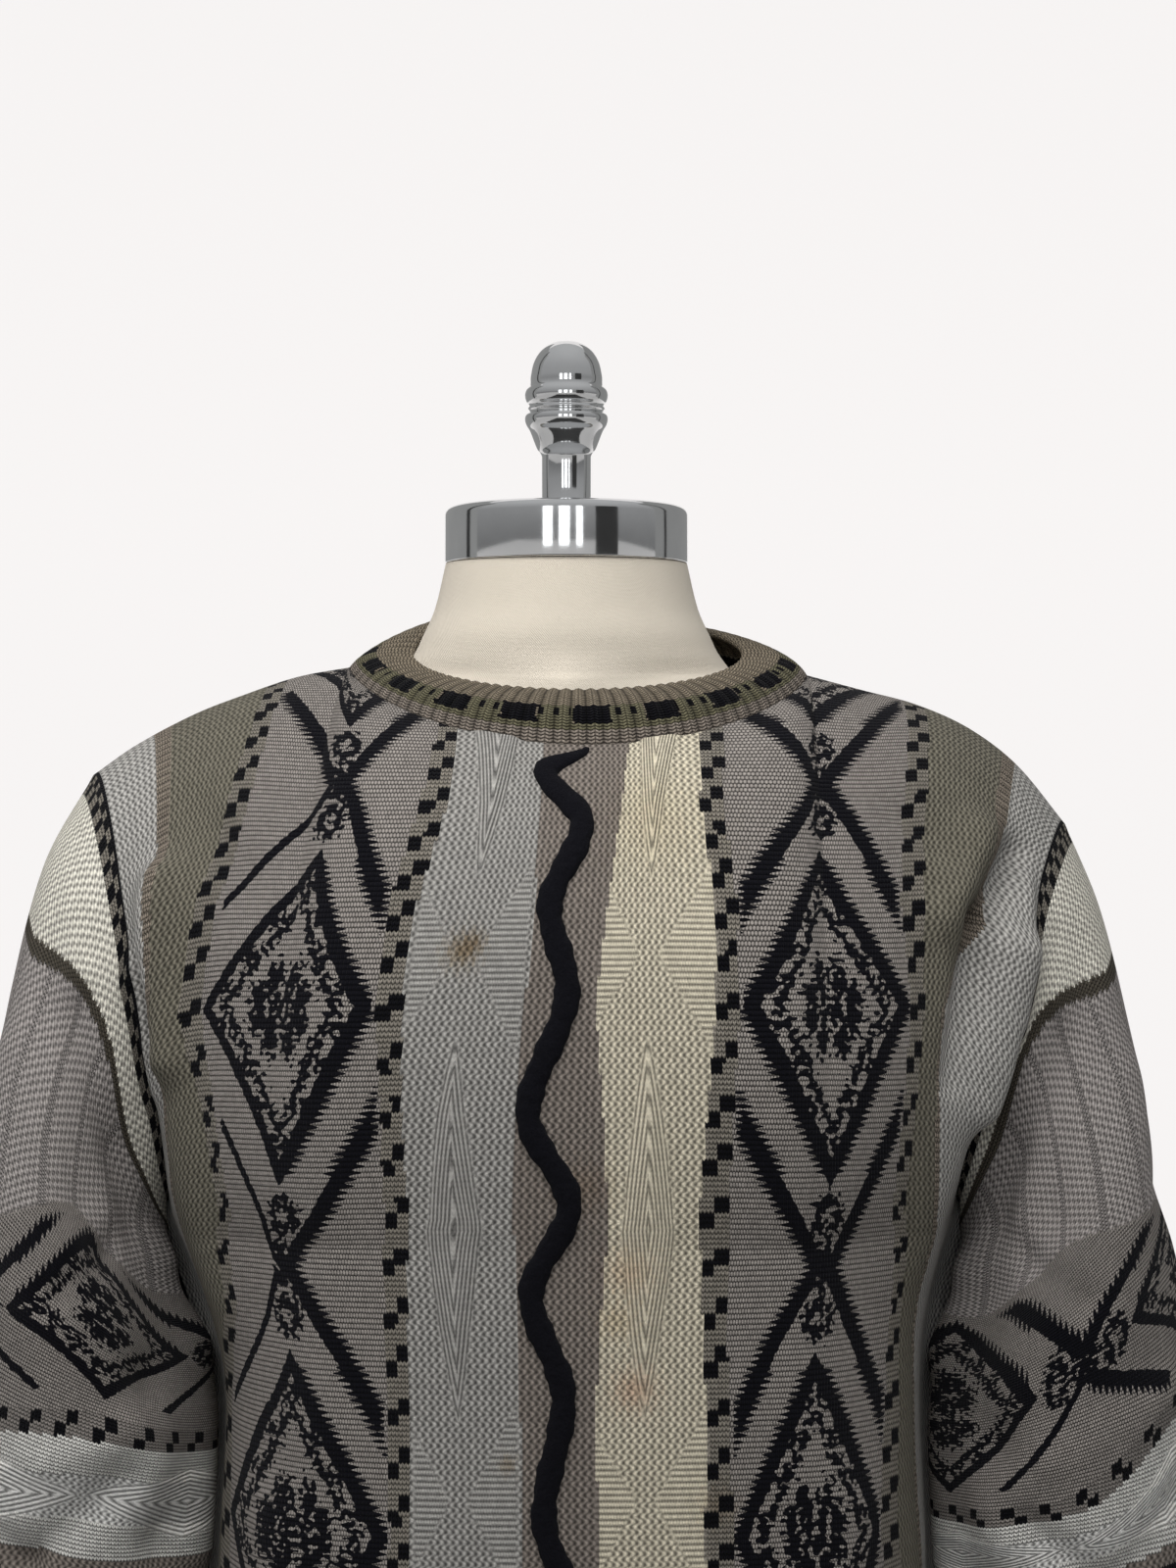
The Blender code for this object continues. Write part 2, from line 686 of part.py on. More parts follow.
def garment_grids():
    """The outer face of every cloth piece, before folds, as one skin with shared edges.

    Rows run up and columns run anticlockwise as seen from above, so that every face points out.
    """
    front_flats = front_columns()
    back_flats = back_columns(front_flats)
    front = panel_grid(True, front_flats)
    back = panel_grid(False, back_flats)
    foot = np.vstack((front[0], back[0][::-1][1:-1]))
    left_hole = armhole_loop(front, back, 0)
    right_hole = armhole_loop(front, back, -1)
    sleeve_left = sleeve_grid(SLEEVE_LEFT, left_hole)
    sleeve_right = sleeve_grid(SLEEVE_RIGHT, right_hole)
    band = band_grid(neck_loop(front, back, front_flats, back_flats))
    grids = {
        "front": (front, False),
        "back": (back[:, ::-1], False),
        "sleeve_left": (sleeve_left[::-1], True),
        "sleeve_right": (sleeve_right[::-1, ::-1], True),
        "neckband": (band, True),
        "hem_rib": (hem_grid(foot), True),
        "cuff_left": (cuff_grid(sleeve_left)[::-1], True),
        "cuff_right": (cuff_grid(sleeve_right)[::-1, ::-1], True),
    }
    return grids, front_flats, back_flats


def make_garment(finishes, collection):
    grids, front_flats, back_flats = garment_grids()
    plain_normals = skin_normals(grids)
    for name, (grid, wraps) in grids.items():
        lift = fold_height(grid)
        grids[name] = (grid + plain_normals[name] * lift[..., None], wraps)
    normals = skin_normals(grids)
    necks = {"front": inside_neck(front_flats), "back": inside_neck(back_flats)[::-1]}
    for name, chosen in necks.items():
        normals[name][-1, chosen] = neck_seam_normals(grids[name][0][-1, chosen])
    normals["neckband"][0] = neck_seam_normals(grids["neckband"][0][0])
    finish_of = {
        "front": "taupe_knit",
        "back": "taupe_knit",
        "sleeve_left": "taupe_knit",
        "sleeve_right": "taupe_knit",
        "neckband": "olive_rib",
        "hem_rib": "olive_rib",
        "cuff_left": "olive_rib",
        "cuff_right": "olive_rib",
    }
    for name, (grid, wraps) in grids.items():
        normal = normals[name]
        relief = np.zeros(grid.shape[:2])
        wall = WALL
        if name == "front":
            relief = cable_height(grid, front_flats)
        if name == "neckband":
            wall = BAND_WALL
            relief[:, 1::2] = BAND_RIB_DEPTH
            relief[0] = 0.0
        gap = ARMHOLE_GAP / 2 if name.startswith(("sleeve", "neckband")) else SEAM_GAP / 2
        squareness = np.sum(own_normals(grid, wraps) * normal, axis=-1)
        thickness = wall / np.maximum(THINNEST_MITRE, squareness)
        if name == "neckband":
            thickness[0] = WALL
        if name in necks:
            thickness[-1, necks[name]] = WALL
        face = grid + gap * edge_steps(grid, normal, wraps)
        outer = face + normal * relief[..., None]
        inner = face - normal * thickness[..., None]
        mesh = wall_mesh(name, outer, inner, wraps)
        add_object(name, mesh, finishes[finish_of[name]], collection)
        if name == "front":
            front_outer = outer
    return front_outer


def on_front(front_outer, across, height):
    """The point of the front's outer face at a distance across and a height."""
    heights = []
    depths = []
    for row in front_outer[:, 8:-8]:
        heights.append(np.interp(across, row[:, 0], row[:, 2]))
        depths.append(np.interp(across, row[:, 0], row[:, 1]))
    return np.array((across, np.interp(height, heights, depths), height))


def cord_path():
    """Heights and distances across of the wavy cord's middle line, from its top down."""
    turns = [CORD_TOP] + list(CORD_TURNS)
    height, middle = turns[-1]
    swing = 1.0
    while height - CORD_LOWER_TURN > CORD_FOOT:
        height -= CORD_LOWER_TURN
        turns.append((height, -0.004 + swing * CORD_LOWER_SWING))
        swing = -swing
    turns.append((CORD_FOOT, -0.004))
    turns.reverse()
    path = []
    for height in np.linspace(CORD_TOP[0], CORD_FOOT, CORD_STEPS + 1):
        index = min(max(bisect_right([turn[0] for turn in turns], height) - 1, 0), len(turns) - 2)
        low, high = turns[index], turns[index + 1]
        share = ease((height - low[0]) / (high[0] - low[0]))
        path.append((height, low[1] + (high[1] - low[1]) * share))
    return path


def make_wavy_cord(front_outer, finish, collection):
    """A flattened cord that follows the front's outer face."""
    section = (
        (-0.50, 0.00),
        (0.50, 0.00),
        (0.42, 0.60),
        (0.15, 1.00),
        (-0.15, 1.00),
        (-0.42, 0.60),
    )
    step = 0.002
    rings = []
    path = cord_path()
    for index, (height, across) in enumerate(path):
        point = on_front(front_outer, across, height)
        up = on_front(front_outer, across, height + step) - on_front(front_outer, across, height - step)
        over = on_front(front_outer, across + step, height) - on_front(front_outer, across - step, height)
        normal = np.cross(over, up)
        normal /= np.linalg.norm(normal)
        before = path[max(index - 1, 0)]
        after = path[min(index + 1, len(path) - 1)]
        run = on_front(front_outer, before[1], before[0]) - on_front(front_outer, after[1], after[0])
        beside = np.cross(run, normal)
        beside /= np.linalg.norm(beside)
        ring = []
        for sideways, lifted in section:
            at = point + beside * sideways * CORD_WIDTH
            foot = on_front(front_outer, at[0], at[2]) + normal * CORD_LIFT
            ring.append(foot + normal * lifted * CORD_HEIGHT)
        rings.append(ring)
    rings = np.array(rings)
    count = len(section)
    rows = len(rings)
    faces = grid_faces(rows, count, True)
    faces.append(tuple(reversed(range(count))))
    faces.append(tuple(range((rows - 1) * count, rows * count)))
    mesh = bpy.data.meshes.new("wavy_cord")
    mesh.from_pydata(rings.reshape(-1, 3).tolist(), [], faces)
    add_object("wavy_cord", mesh, finish, collection)


def make_form_torso(finish, collection):
    """The form's torso and neck, a loft through its rings."""
    rings = []
    for height, half_width, ahead, behind, squareness in FORM_RINGS:
        quarter = np.linspace(0.0, 1.0, FORM_SEGMENTS // 4 + 1)
        front_x, front_y = squared_arc(half_width, ahead, squareness, quarter)
        back_x, back_y = squared_arc(half_width, behind, squareness, quarter)
        across = np.concatenate((front_x[:-1], back_x[::-1][:-1], -back_x[:-1], -front_x[::-1][:-1]))
        deep = np.concatenate((-front_y[:-1], back_y[::-1][:-1], back_y[:-1], -front_y[::-1][:-1]))
        rings.append(np.stack((across, deep, np.full(len(across), height)), axis=1))
    rings = np.array(rings)
    rows, columns = rings.shape[:2]
    faces = grid_faces(rows, columns, True)
    faces.append(tuple(reversed(range(columns))))
    faces.append(tuple(range((rows - 1) * columns, rows * columns)))
    mesh = bpy.data.meshes.new("form_torso")
    mesh.from_pydata(rings.reshape(-1, 3).tolist(), [], faces)
    add_object("form_torso", mesh, finish, collection)


def add_turned(name, profile, foot, finish, collection):
    """A piece turned about the vertical axis from a profile, top to bottom."""
    mesh = bpy.data.meshes.new(name)
    points = [(radius, 0.0, height) for radius, height in profile]
    edges = [(index, index + 1) for index in range(len(points) - 1)]
    mesh.from_pydata(points, edges, [])
    mesh.materials.append(finish)
    item = bpy.data.objects.new(name, mesh)
    item.location = (0.0, 0.0, foot)
    collection.objects.link(item)
    turn = item.modifiers.new("turned", "SCREW")
    turn.axis = "Z"
    turn.steps = TURNED_STEPS
    turn.render_steps = TURNED_STEPS
    turn.use_merge_vertices = True
    turn.merge_threshold = 0.00001
    turn.use_smooth_shade = True
    return item


def make_stand(finishes, collection):
    chrome = finishes["chrome"]
    add_turned("neck_cap", CAP_PROFILE, CAP_FOOT, chrome, collection)
    add_turned("finial", FINIAL_PROFILE, FINIAL_FOOT, chrome, collection)
    base_top = BASE_PROFILE[0][1]
    pole_foot = base_top + SEAM_GAP
    pole_profile = (
        (0.0, POLE_TOP - pole_foot),
        (POLE_RADIUS, POLE_TOP - pole_foot),
        (POLE_RADIUS, 0.0),
        (0.0, 0.0),
    )
    add_turned("stand_pole", pole_profile, pole_foot, chrome, collection)
    add_turned("stand_base", BASE_PROFILE, 0.0, chrome, collection)


def main():
    clear_scene()
    collection = bpy.data.collections.new("sweater_on_dress_form")
    bpy.context.scene.collection.children.link(collection)
    finishes = make_finishes()
    front_outer = make_garment(finishes, collection)
    make_wavy_cord(front_outer, finishes["black_cord"], collection)
    make_form_torso(finishes["form_twill"], collection)
    make_stand(finishes, collection)


main()
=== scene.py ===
# A knitted crew-neck sweater on a limbless dress form: its stitches, charts, folds and finishes.
# Metres, +Z up. The cloth takes the place of the solids, on a lattice with one face for each stitch.

import math
from collections import namedtuple

import bpy
import numpy as np
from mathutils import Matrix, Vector
from mathutils.bvhtree import BVHTree


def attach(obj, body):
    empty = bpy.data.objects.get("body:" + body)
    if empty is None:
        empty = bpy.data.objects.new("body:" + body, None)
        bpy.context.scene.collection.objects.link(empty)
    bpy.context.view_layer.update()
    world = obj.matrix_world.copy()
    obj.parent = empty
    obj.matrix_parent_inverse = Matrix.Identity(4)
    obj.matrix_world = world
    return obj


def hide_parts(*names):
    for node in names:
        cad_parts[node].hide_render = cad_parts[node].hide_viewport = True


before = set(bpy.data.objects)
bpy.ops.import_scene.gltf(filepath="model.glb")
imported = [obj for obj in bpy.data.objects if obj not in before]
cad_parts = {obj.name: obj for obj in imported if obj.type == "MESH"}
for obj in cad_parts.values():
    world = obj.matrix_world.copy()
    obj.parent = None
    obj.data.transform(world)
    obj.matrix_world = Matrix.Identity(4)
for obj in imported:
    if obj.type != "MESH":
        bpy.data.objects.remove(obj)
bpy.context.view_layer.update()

Panel = namedtuple("Panel", "plain folded normals tops lengths")

# Stitches
WALE = 0.0018
COURSE = 0.0025

# The body, laid flat: distances from the centre line
PANEL_HALF = 0.280
NECK_POINT_LEFT = -0.145
NECK_POINT_RIGHT = 0.1235
PANEL_WALES = 312

# Heights on the body
PANEL_FOOT = 0.765
UNDERARM = 1.150
HEM_FOOT = 0.700

# Rings of the body:
# height, half width left, half width right, depth in front, depth behind, squareness
BODY_RINGS = (
    (0.765, 0.164, 0.166, 0.142, 0.128, 2.8), (0.86, 0.17, 0.172, 0.15, 0.133, 2.9),
    (0.966, 0.174, 0.18, 0.153, 0.133, 3.0), (1.066, 0.17, 0.177, 0.155, 0.131, 3.0),
    (1.105, 0.179, 0.181, 0.157, 0.131, 2.7), (1.15, 0.198, 0.194, 0.159, 0.131, 2.4),
)

# The neck seam, a tilted loop round the centre below
NECK_X = 0.006
NECK_HALF_WIDTH = 0.116
NECK_SIDE_HEIGHT = 1.4235
NECK_SIDE_TILT = 0.002
NECK_FRONT = 0.100
NECK_FRONT_DROP = 0.0385
NECK_BACK = 0.096
NECK_BACK_RISE = 0.020
NECK_DIP_POWER = 1.4

# Where the wales of a panel meet the neck seam: flat distance, turn from the front in degrees
FRONT_NECK_TURNS = ((-0.145, -90), (-0.082, -34), (0.0, 1), (0.082, 37), (0.1235, 90))
BACK_NECK_TURNS = ((-0.145, -90), (-0.080, -38), (0.0, 1), (0.072, 38), (0.1235, 90))

# Shoulder seams from the neck to the tip: share of the seam, across, height
SHOULDER_LEFT = (
    (0.0, -0.11, 1.4255), (0.2, -0.137, 1.4205), (0.42, -0.165, 1.411), (0.62, -0.19, 1.401),
    (0.84, -0.22, 1.385), (1.0, -0.2415, 1.37),
)
SHOULDER_RIGHT = (
    (0.0, 0.122, 1.4215), (0.18, 0.15, 1.414), (0.38, 0.178, 1.4065), (0.58, 0.205, 1.394),
    (0.78, 0.23, 1.3745), (1.0, 0.2545, 1.3445),
)

# How a wale leaves the underarm's level and reaches its top: forward and up, scaled lengths
CHEST_LEAVE = (0.035, 0.270)
SHOULDER_BLADE_LEAVE = (0.030, 0.300)
SIDE_FULLNESS = 0.110
SIDE_FULLNESS_FROM = 0.04
SIDE_FULLNESS_OVER = 0.12
ARMHOLE_LEAVE = (0.300, 0.100)
FRONT_NECK_REACH = (0.200, 0.150)
BACK_NECK_REACH = (0.120, 0.220)
SHOULDER_REACH = 0.300
SHOULDER_TIP_FROM = 0.97
ARMHOLE_OUTWARD = 0.080
ARMHOLE_BLEND_FROM = 0.62
LOW_SAMPLES = 60
HIGH_SAMPLES = 90
ARC_STEPS = 240

# Sleeves, stations from the armhole to the cuff:
# share of the length, outer edge x and z, inner edge x and z, middle y, half depth in front, behind
SLEEVE_LEFT = (
    (0.0, -0.2415, 1.37, -0.198, 1.15, 0.0, 0.075, 0.072),
    (0.1, -0.2655, 1.326, -0.206, 1.132, -0.002, 0.082, 0.076),
    (0.22, -0.28, 1.266, -0.204, 1.108, -0.006, 0.086, 0.078),
    (0.36, -0.29, 1.196, -0.189, 1.082, -0.012, 0.086, 0.076),
    (0.52, -0.302, 1.116, -0.18, 1.052, -0.018, 0.082, 0.072),
    (0.68, -0.311, 1.036, -0.181, 1.006, -0.022, 0.076, 0.068),
    (0.84, -0.306, 0.952, -0.186, 0.942, -0.022, 0.066, 0.06),
    (1.0, -0.29, 0.87, -0.192, 0.87, -0.02, 0.054, 0.05),
)
SLEEVE_RIGHT = (
    (0.0, 0.2545, 1.3445, 0.194, 1.15, 0.0, 0.075, 0.072),
    (0.1, 0.2715, 1.302, 0.204, 1.13, -0.002, 0.082, 0.076),
    (0.22, 0.284, 1.247, 0.205, 1.106, -0.006, 0.086, 0.078),
    (0.36, 0.296, 1.182, 0.195, 1.082, -0.012, 0.086, 0.076),
    (0.52, 0.31, 1.108, 0.187, 1.048, -0.018, 0.082, 0.072),
    (0.68, 0.318, 1.03, 0.188, 1.002, -0.022, 0.076, 0.068),
    (0.84, 0.313, 0.946, 0.192, 0.936, -0.022, 0.066, 0.06),
    (1.0, 0.298, 0.862, 0.198, 0.862, -0.02, 0.054, 0.05),
)
SLEEVE_LENGTH = 0.530
SLEEVE_ROUND = 0.44
SLEEVE_COURSES = 212
SLEEVE_WALES = 232
SLEEVE_HEAD_SHARE = 0.30
SEAM_BLEND_SHARE = 0.06

# The dip where the sleeves are sewn in
SEAM_GROOVE = -0.0012
SEAM_GROOVE_WIDTH = 0.0045

# Cuffs: share of the height, share of the sleeve end's size
CUFF_HEIGHT = 0.065
CUFF_SIZES = ((0.0, 1.0), (0.18, 0.80), (1.0, 0.76))
CUFF_RIBS = 60

# Hem rib: share of the height, share of the body's size
HEM_SIZES = ((0.0, 1.0), (1.0, 0.955))
HEM_RIBS = 190

# Neckband
BAND_RIBS = 84
BAND_WALL = 0.0030
BAND_TOP_HALF_WIDTH = 0.0845
BAND_TOP_FRONT = 0.083
BAND_TOP_BACK = 0.078
BAND_TOP_HEIGHT = 1.4335
BAND_TOP_TILT = 0.0215
BAND_BACK_LEFT_RISE = 0.014
BAND_BULGE = 0.0055
BAND_BULGE_LIFT = 0.10
BAND_INNER_RIB = 0.0006

# Rib walls: points for each rib, how far a rib stands proud, the wall's thickness, then how round a rib is
# and how much painted shade darkens a groove
RIB_POINTS = 8
RIB_DEPTH = 0.0010
RIB_WALL = 0.0022
RIB_ROUNDNESS = 0.8
GROOVE_PAINTED_SHADE = 0.42

# The mark of moss stitch in a chart, where 0 is knit and 1 is purl
MOSS = 0.5

# How far a stitch's legs rise towards its sides, in courses
STITCH_LEAN = 0.45

# Bumps of a purl row on each wale of the lattice
PURL_BUMPS = 1.333

# Wavy cord on the front, from the neck down: height, distance across
CORD_TURNS = (
    (1.372, -0.0092), (1.348, 0.0082), (1.3088, -0.0069), (1.2712, 0.0014), (1.2137, -0.0168),
    (1.1713, 0.0023), (1.1295, -0.0154), (1.081, -0.0004), (1.0259, -0.0095),
)
CORD_TOP = (1.3832, 0.0105)
CORD_LOWER_TURN = 0.048
CORD_LOWER_MIDDLE = -0.004
CORD_LOWER_SWING = 0.0085
CORD_FOOT = 0.775
CORD_WIDTH = 0.0120
CORD_HEIGHT = 0.0036
CORD_STEPS = 420
CORD_SIDES = 14
CORD_ROUNDNESS = 0.8
CORD_SUNK = -0.12
CORD_RAY_FROM = -0.6

# Points to each side that the cord's direction is smoothed over, its uneven width (share, pace, start),
# and how its ends taper (pace at the top and the foot, least share)
CORD_SMOOTHED = 4
CORD_UNEVEN = ((0.07, 173.0, 0.0), (0.05, 411.0, 1.0))
CORD_TAPER = (50.0, 120.0, 0.22)

# Main folds, in millimetres: one end, other end, half width, height (a trough is negative)
FOLDS = (
    (-190, -90, 1300, -184, -98, 1120, 24, 7), (-226, -70, 1285, -214, -72, 1190, 20, -4),
    (200, -85, 1305, 188, -95, 1150, 24, 7), (232, -66, 1280, 216, -70, 1190, 20, -4),
    (-157, -60, 1345, -200, -78, 1285, 18, 5), (175, -75, 1325, 205, -75, 1290, 18, 5),
    (-200, -80, 1075, -300, -50, 1095, 14, -6), (-205, -80, 1038, -305, -40, 1052, 18, 7),
    (-195, -70, 995, -300, -40, 1010, 14, -7), (205, -80, 1045, 300, -50, 1085, 14, -6),
    (210, -80, 1008, 310, -40, 1040, 18, 7), (200, -70, 965, 305, -40, 990, 14, -7),
    (-135, -120, 1010, -125, -120, 800, 22, 6), (130, -125, 1020, 140, -110, 800, 22, 6),
    (-195, 70, 1300, -120, 125, 1120, 24, 8), (195, 70, 1290, 110, 125, 1130, 24, 8),
    (-60, 130, 1080, -75, 125, 850, 28, 6), (80, 130, 1050, 65, 125, 830, 28, 6),
)

# Lesser creases of the panels and of the sleeves, in the same order
PANEL_CREASES = (
    (-218, -90, 1312, -200, -86, 1248, 8.5, -20), (-199, -86, 1240, -202, -80, 1185, 8.5, -17),
    (-194, -85, 1318, -182, -94, 1235, 11, 12), (-220, -74, 1272, -213, -70, 1215, 9, 11),
    (222, -72, 1334, 202, -92, 1306, 8.5, -15), (199, -96, 1300, 190, -108, 1225, 8.5, -17),
    (204, -80, 1342, 180, -100, 1302, 12, 8), (213, -80, 1285, 200, -84, 1210, 11, 13),
    (228, -76, 1330, 212, -72, 1255, 8, 6), (-192, 14, 1145, -176, 14, 1090, 24, 19),
    (-173, 12, 1074, -172, 12, 960, 24, 11), (190, 14, 1145, 180, 14, 1090, 24, 20),
    (179, 12, 1074, 179, 12, 960, 24, 10), (-185, -85, 1362, -150, -100, 1315, 11, -3),
    (165, -92, 1352, 198, -85, 1318, 11, -3.5), (-105, -135, 1250, -120, -140, 1060, 20, 3),
    (100, -140, 1240, 118, -140, 1050, 20, 3), (-178, 60, 1260, -150, 105, 1150, 14, -6),
    (178, 60, 1250, 145, 105, 1150, 14, -6), (20, 135, 1000, 30, 130, 800, 20, -4),
)
SLEEVE_CREASES = (
    (-205, -30, 1125, -192, -30, 1085, 20, 13), (-181, -34, 1050, -182, -34, 985, 20, 6),
    (-190, 26, 1100, -185, 22, 1000, 18, -7), (206, -30, 1120, 197, -30, 1082, 20, 14),
    (188, -34, 1045, 190, -34, 980, 20, 6), (196, 26, 1100, 192, 22, 995, 18, -7),
    (-262, -75, 1290, -232, -90, 1170, 16, -5), (262, -72, 1285, 236, -86, 1160, 16, -5),
    (-285, -60, 1230, -262, -92, 1110, 20, 4), (285, -60, 1220, 262, -92, 1110, 20, 4),
    (-195, -70, 1160, -245, -98, 1120, 9, -4), (200, -70, 1150, 250, -98, 1118, 9, -4),
    (-200, -80, 960, -290, -60, 975, 12, 6), (205, -80, 935, 300, -60, 950, 12, 6),
    (-215, -90, 1030, -262, -94, 990, 10, -6), (-262, -94, 990, -300, -70, 1020, 10, -5),
    (-210, -90, 1055, -250, -94, 1040, 11, 5), (220, -90, 1010, 262, -94, 975, 10, -6),
    (262, -94, 975, 305, -70, 1030, 10, -5.5), (235, -92, 1040, 300, -80, 1075, 11, 4.5),
    (-300, -50, 1190, -312, 35, 1120, 15, -6), (-318, -30, 1065, -305, 45, 1035, 13, -8.5),
    (-320, -45, 1000, -316, 40, 1012, 12, 8), (-310, -45, 940, -300, 45, 955, 11, -7.5),
    (302, -50, 1180, 314, 35, 1110, 15, -6), (320, -30, 1055, 307, 45, 1020, 13, -8.5),
    (322, -45, 990, 318, 40, 1000, 12, 8), (312, -45, 930, 302, 45, 940, 11, -7.5),
    (-240, -86, 1255, -205, -60, 1150, 12, -7), (240, -84, 1245, 206, -58, 1150, 12, -7),
    (-205, 60, 1060, -300, 40, 1090, 15, -6), (205, 60, 1050, 300, 40, 1080, 15, -6),
    (-200, 55, 1010, -300, 40, 1030, 15, 6), (200, 55, 1000, 300, 40, 1020, 15, 6),
)

# Torso and neck of the form:
# height, half width, depth in front, depth behind, squareness
FORM_RINGS = (
    (0.78, 0.138, 0.112, 0.1, 2.5), (0.79, 0.15, 0.122, 0.11, 2.4), (0.86, 0.157, 0.13, 0.116, 2.3),
    (0.96, 0.151, 0.122, 0.104, 2.2), (1.05, 0.152, 0.126, 0.102, 2.2), (1.15, 0.168, 0.142, 0.112, 2.2),
    (1.25, 0.184, 0.144, 0.117, 2.2), (1.31, 0.194, 0.131, 0.111, 2.2), (1.35, 0.201, 0.108, 0.098, 2.0),
    (1.375, 0.203, 0.09, 0.088, 1.8), (1.388, 0.199, 0.081, 0.082, 1.6), (1.3977, 0.19, 0.074, 0.079, 1.4),
    (1.4057, 0.17, 0.072, 0.078, 1.26), (1.411, 0.15, 0.07, 0.076, 1.22),
    (1.415, 0.128, 0.069, 0.074, 1.26), (1.4178, 0.108, 0.068, 0.072, 1.36),
    (1.421, 0.0895, 0.066, 0.07, 1.58), (1.43, 0.079, 0.064, 0.067, 1.9),
    (1.441, 0.0732, 0.064, 0.064, 2.0), (1.455, 0.067, 0.062, 0.062, 2.0), (1.478, 0.0615, 0.06, 0.06, 2.0),
)
FORM_SEGMENTS = 160
FORM_ROWS_BETWEEN = 4

# The black figures' yarn in linear values, then each yarn: name, red, green and blue from 0 to 255
BLACK_YARN = (0.0048, 0.0048, 0.0070, 1.0)
YARNS = (
    ("taupe", 147, 141, 136), ("olive", 116, 112, 100), ("light grey", 174, 172, 168),
    ("strip grey", 158, 156, 152), ("cream", 202, 194, 174), ("mauve", 130, 122, 115),
    ("black", 15, 15, 20), ("marl", 146, 140, 130), ("ladder", 140, 130, 118), ("honeycomb", 164, 158, 155),
    ("dark rib", 92, 86, 76), ("collar", 142, 131, 114), ("collar green", 118, 114, 92),
    ("collar low", 148, 138, 128), ("pale", 236, 234, 229), ("sleeve grey", 204, 203, 200),
    ("sleeve cream", 227, 223, 211),
)
YARN = {row[0]: index for index, row in enumerate(YARNS)}

# Edges and axes of the strips across the body, as knitted
STRIP_EDGES = (
    -0.28, -0.2435, -0.192, -0.178, -0.1335, -0.089, -0.075, -0.012, 0.018, 0.075, 0.089, 0.1335, 0.178,
    0.192, 0.2435, 0.28,
)

# Where those edges hang on the front, in millimetres: height from the panel's foot, then each edge's place
STRIP_HANG = (
    (720, -280, -250, -186, -176, -123.5, -84.7, -75.3, -23, 32, 72.7, 83.4, 121.5, 174, 186.5, 245, 280),
    (650, -280, -250, -188, -177, -123.5, -84.7, -75.3, -23, 32, 72.7, 83.4, 121.5, 174, 186.5, 245, 280),
    (600, -280, -249, -196, -181.3, -123, -87.6, -75.5, -24, 25.2, 70.6, 80.3, 122, 169.3, 183.5, 243, 280),
    (550, -280, -237, -207, -191.5, -135, -93.2, -81.8, -22, 17.7, 74.2, 83.7, 119, 165.7, 179, 236, 280),
    (520, -280, -233, -208, -193.5, -141, -93.5, -82.5, -22.3, 14, 73, 83.2, 123, 170, 181, 213, 280),
    (500, -280, -231, -208, -194, -143, -93.5, -81.3, -22.5, 12.3, 72, 82.8, 125.5, 173, 183, 199, 280),
    (450, -280, -222, -185.5, -177.4, -136, -85.7, -76.3, -24, 16.9, 66, 78, 126, 169, 178, 196, 280),
    (400, -280, -215, -170.3, -163.7, -133, -81, -69.5, -22.5, 20, 61, 74.5, 124, 163.2, 171.2, 196, 280),
    (350, -280, -220, -178, -170, -135, -83.8, -72.8, -22, 16.5, 64, 75.6, 119, 169.8, 178.8, 200, 280),
    (300, -280, -255, -228, -200, -134, -84.5, -73.5, -20.5, 14.2, 66.8, 77.8, 118, 165, 179.5, 205, 280),
    (250, -280, -252, -225, -195, -130, -83.3, -72.8, -20.5, 16.5, 65, 78.3, 117, 155.5, 173, 205, 280),
    (150, -280, -243.5, -195, -180, -133, -86, -74, -20, 17, 70, 83, 127, 170, 185, 225, 280),
    (0, -280, -243.5, -192, -178, -133.5, -89, -75, -16, 18, 75, 89, 133.5, 178, 192, 243.5, 280),
)

# Heights of the motifs' middles from the panel's foot: height, count (odd for a diamond, even for a cross)
MOTIF_LEVELS = (
    (-0.1175, 6.0), (0.005, 5.0), (0.1275, 4.0), (0.25, 3.0), (0.3755, 2.0), (0.5, 1.0), (0.614, 0.0),
    (0.729, -1.0),
)
MOTIF_STEP = 0.1175
DIAMOND_AXIS = 0.1335
DIAMOND_STRIP_HALF = 0.0445
DIAMOND_HALF_WIDTH = 0.0435
DIAMOND_HALF_HEIGHT = 0.081
BLOB_PITCH = 0.0172
CROSS_SLOPE = 0.57
CROSS_OPENING = 0.0030
CROSS_HALF_WIDTH = 0.041
CROSS_CLEAR_OF_DIAMOND = 1.15

# Lines: thickness across, and where a thick line has teeth and how far they reach
THICK_LINE = 0.0074
THIN_LINE = 0.0050
TOOTH = 0.0042
TOOTH_PITCH = 0.0031
LEFT_LINE_SHARE = 0.85
TEETH_UP_TO = 0.074
CROSS_TEETH_FROM = 0.006
INNER_TEETH_FROM = 0.004
INNER_TOOTH_SHARE = 0.4

# How strongly the two yarns mingle in a curl and in a line, and the depth of a place with no black
CURL_MOTTLE = 0.0125
LINE_MOTTLE = 0.002
CURL_LOSS = 0.53
CURL_SCALE = 0.62
NO_BLACK = -0.02

# Inside a diamond's line: a band with blobs, then a line
BLOB_BAND = 0.0044
BLOB_SHARE = 0.22
BLOB_OVERLAP = 0.0006
INNER_LINE = 0.0050

# Flower in a diamond: across and up of each petal's middle, half width, half height
PETALS = (
    (0.0052, 0.014, 0.0044, 0.0085), (0.0118, 0.0055, 0.0046, 0.007), (0.003, 0.004, 0.0038, 0.0046),
)

# Small flowers above and below a cross: up from its middle, half width, half height
CROSS_FLOWERS = ((0.0240, 0.0094, 0.0105), (-0.0225, 0.0088, 0.0098))
CROSS_CLUSTER = (0.0058, 0.0135)
FLOWER_HEART = 0.3

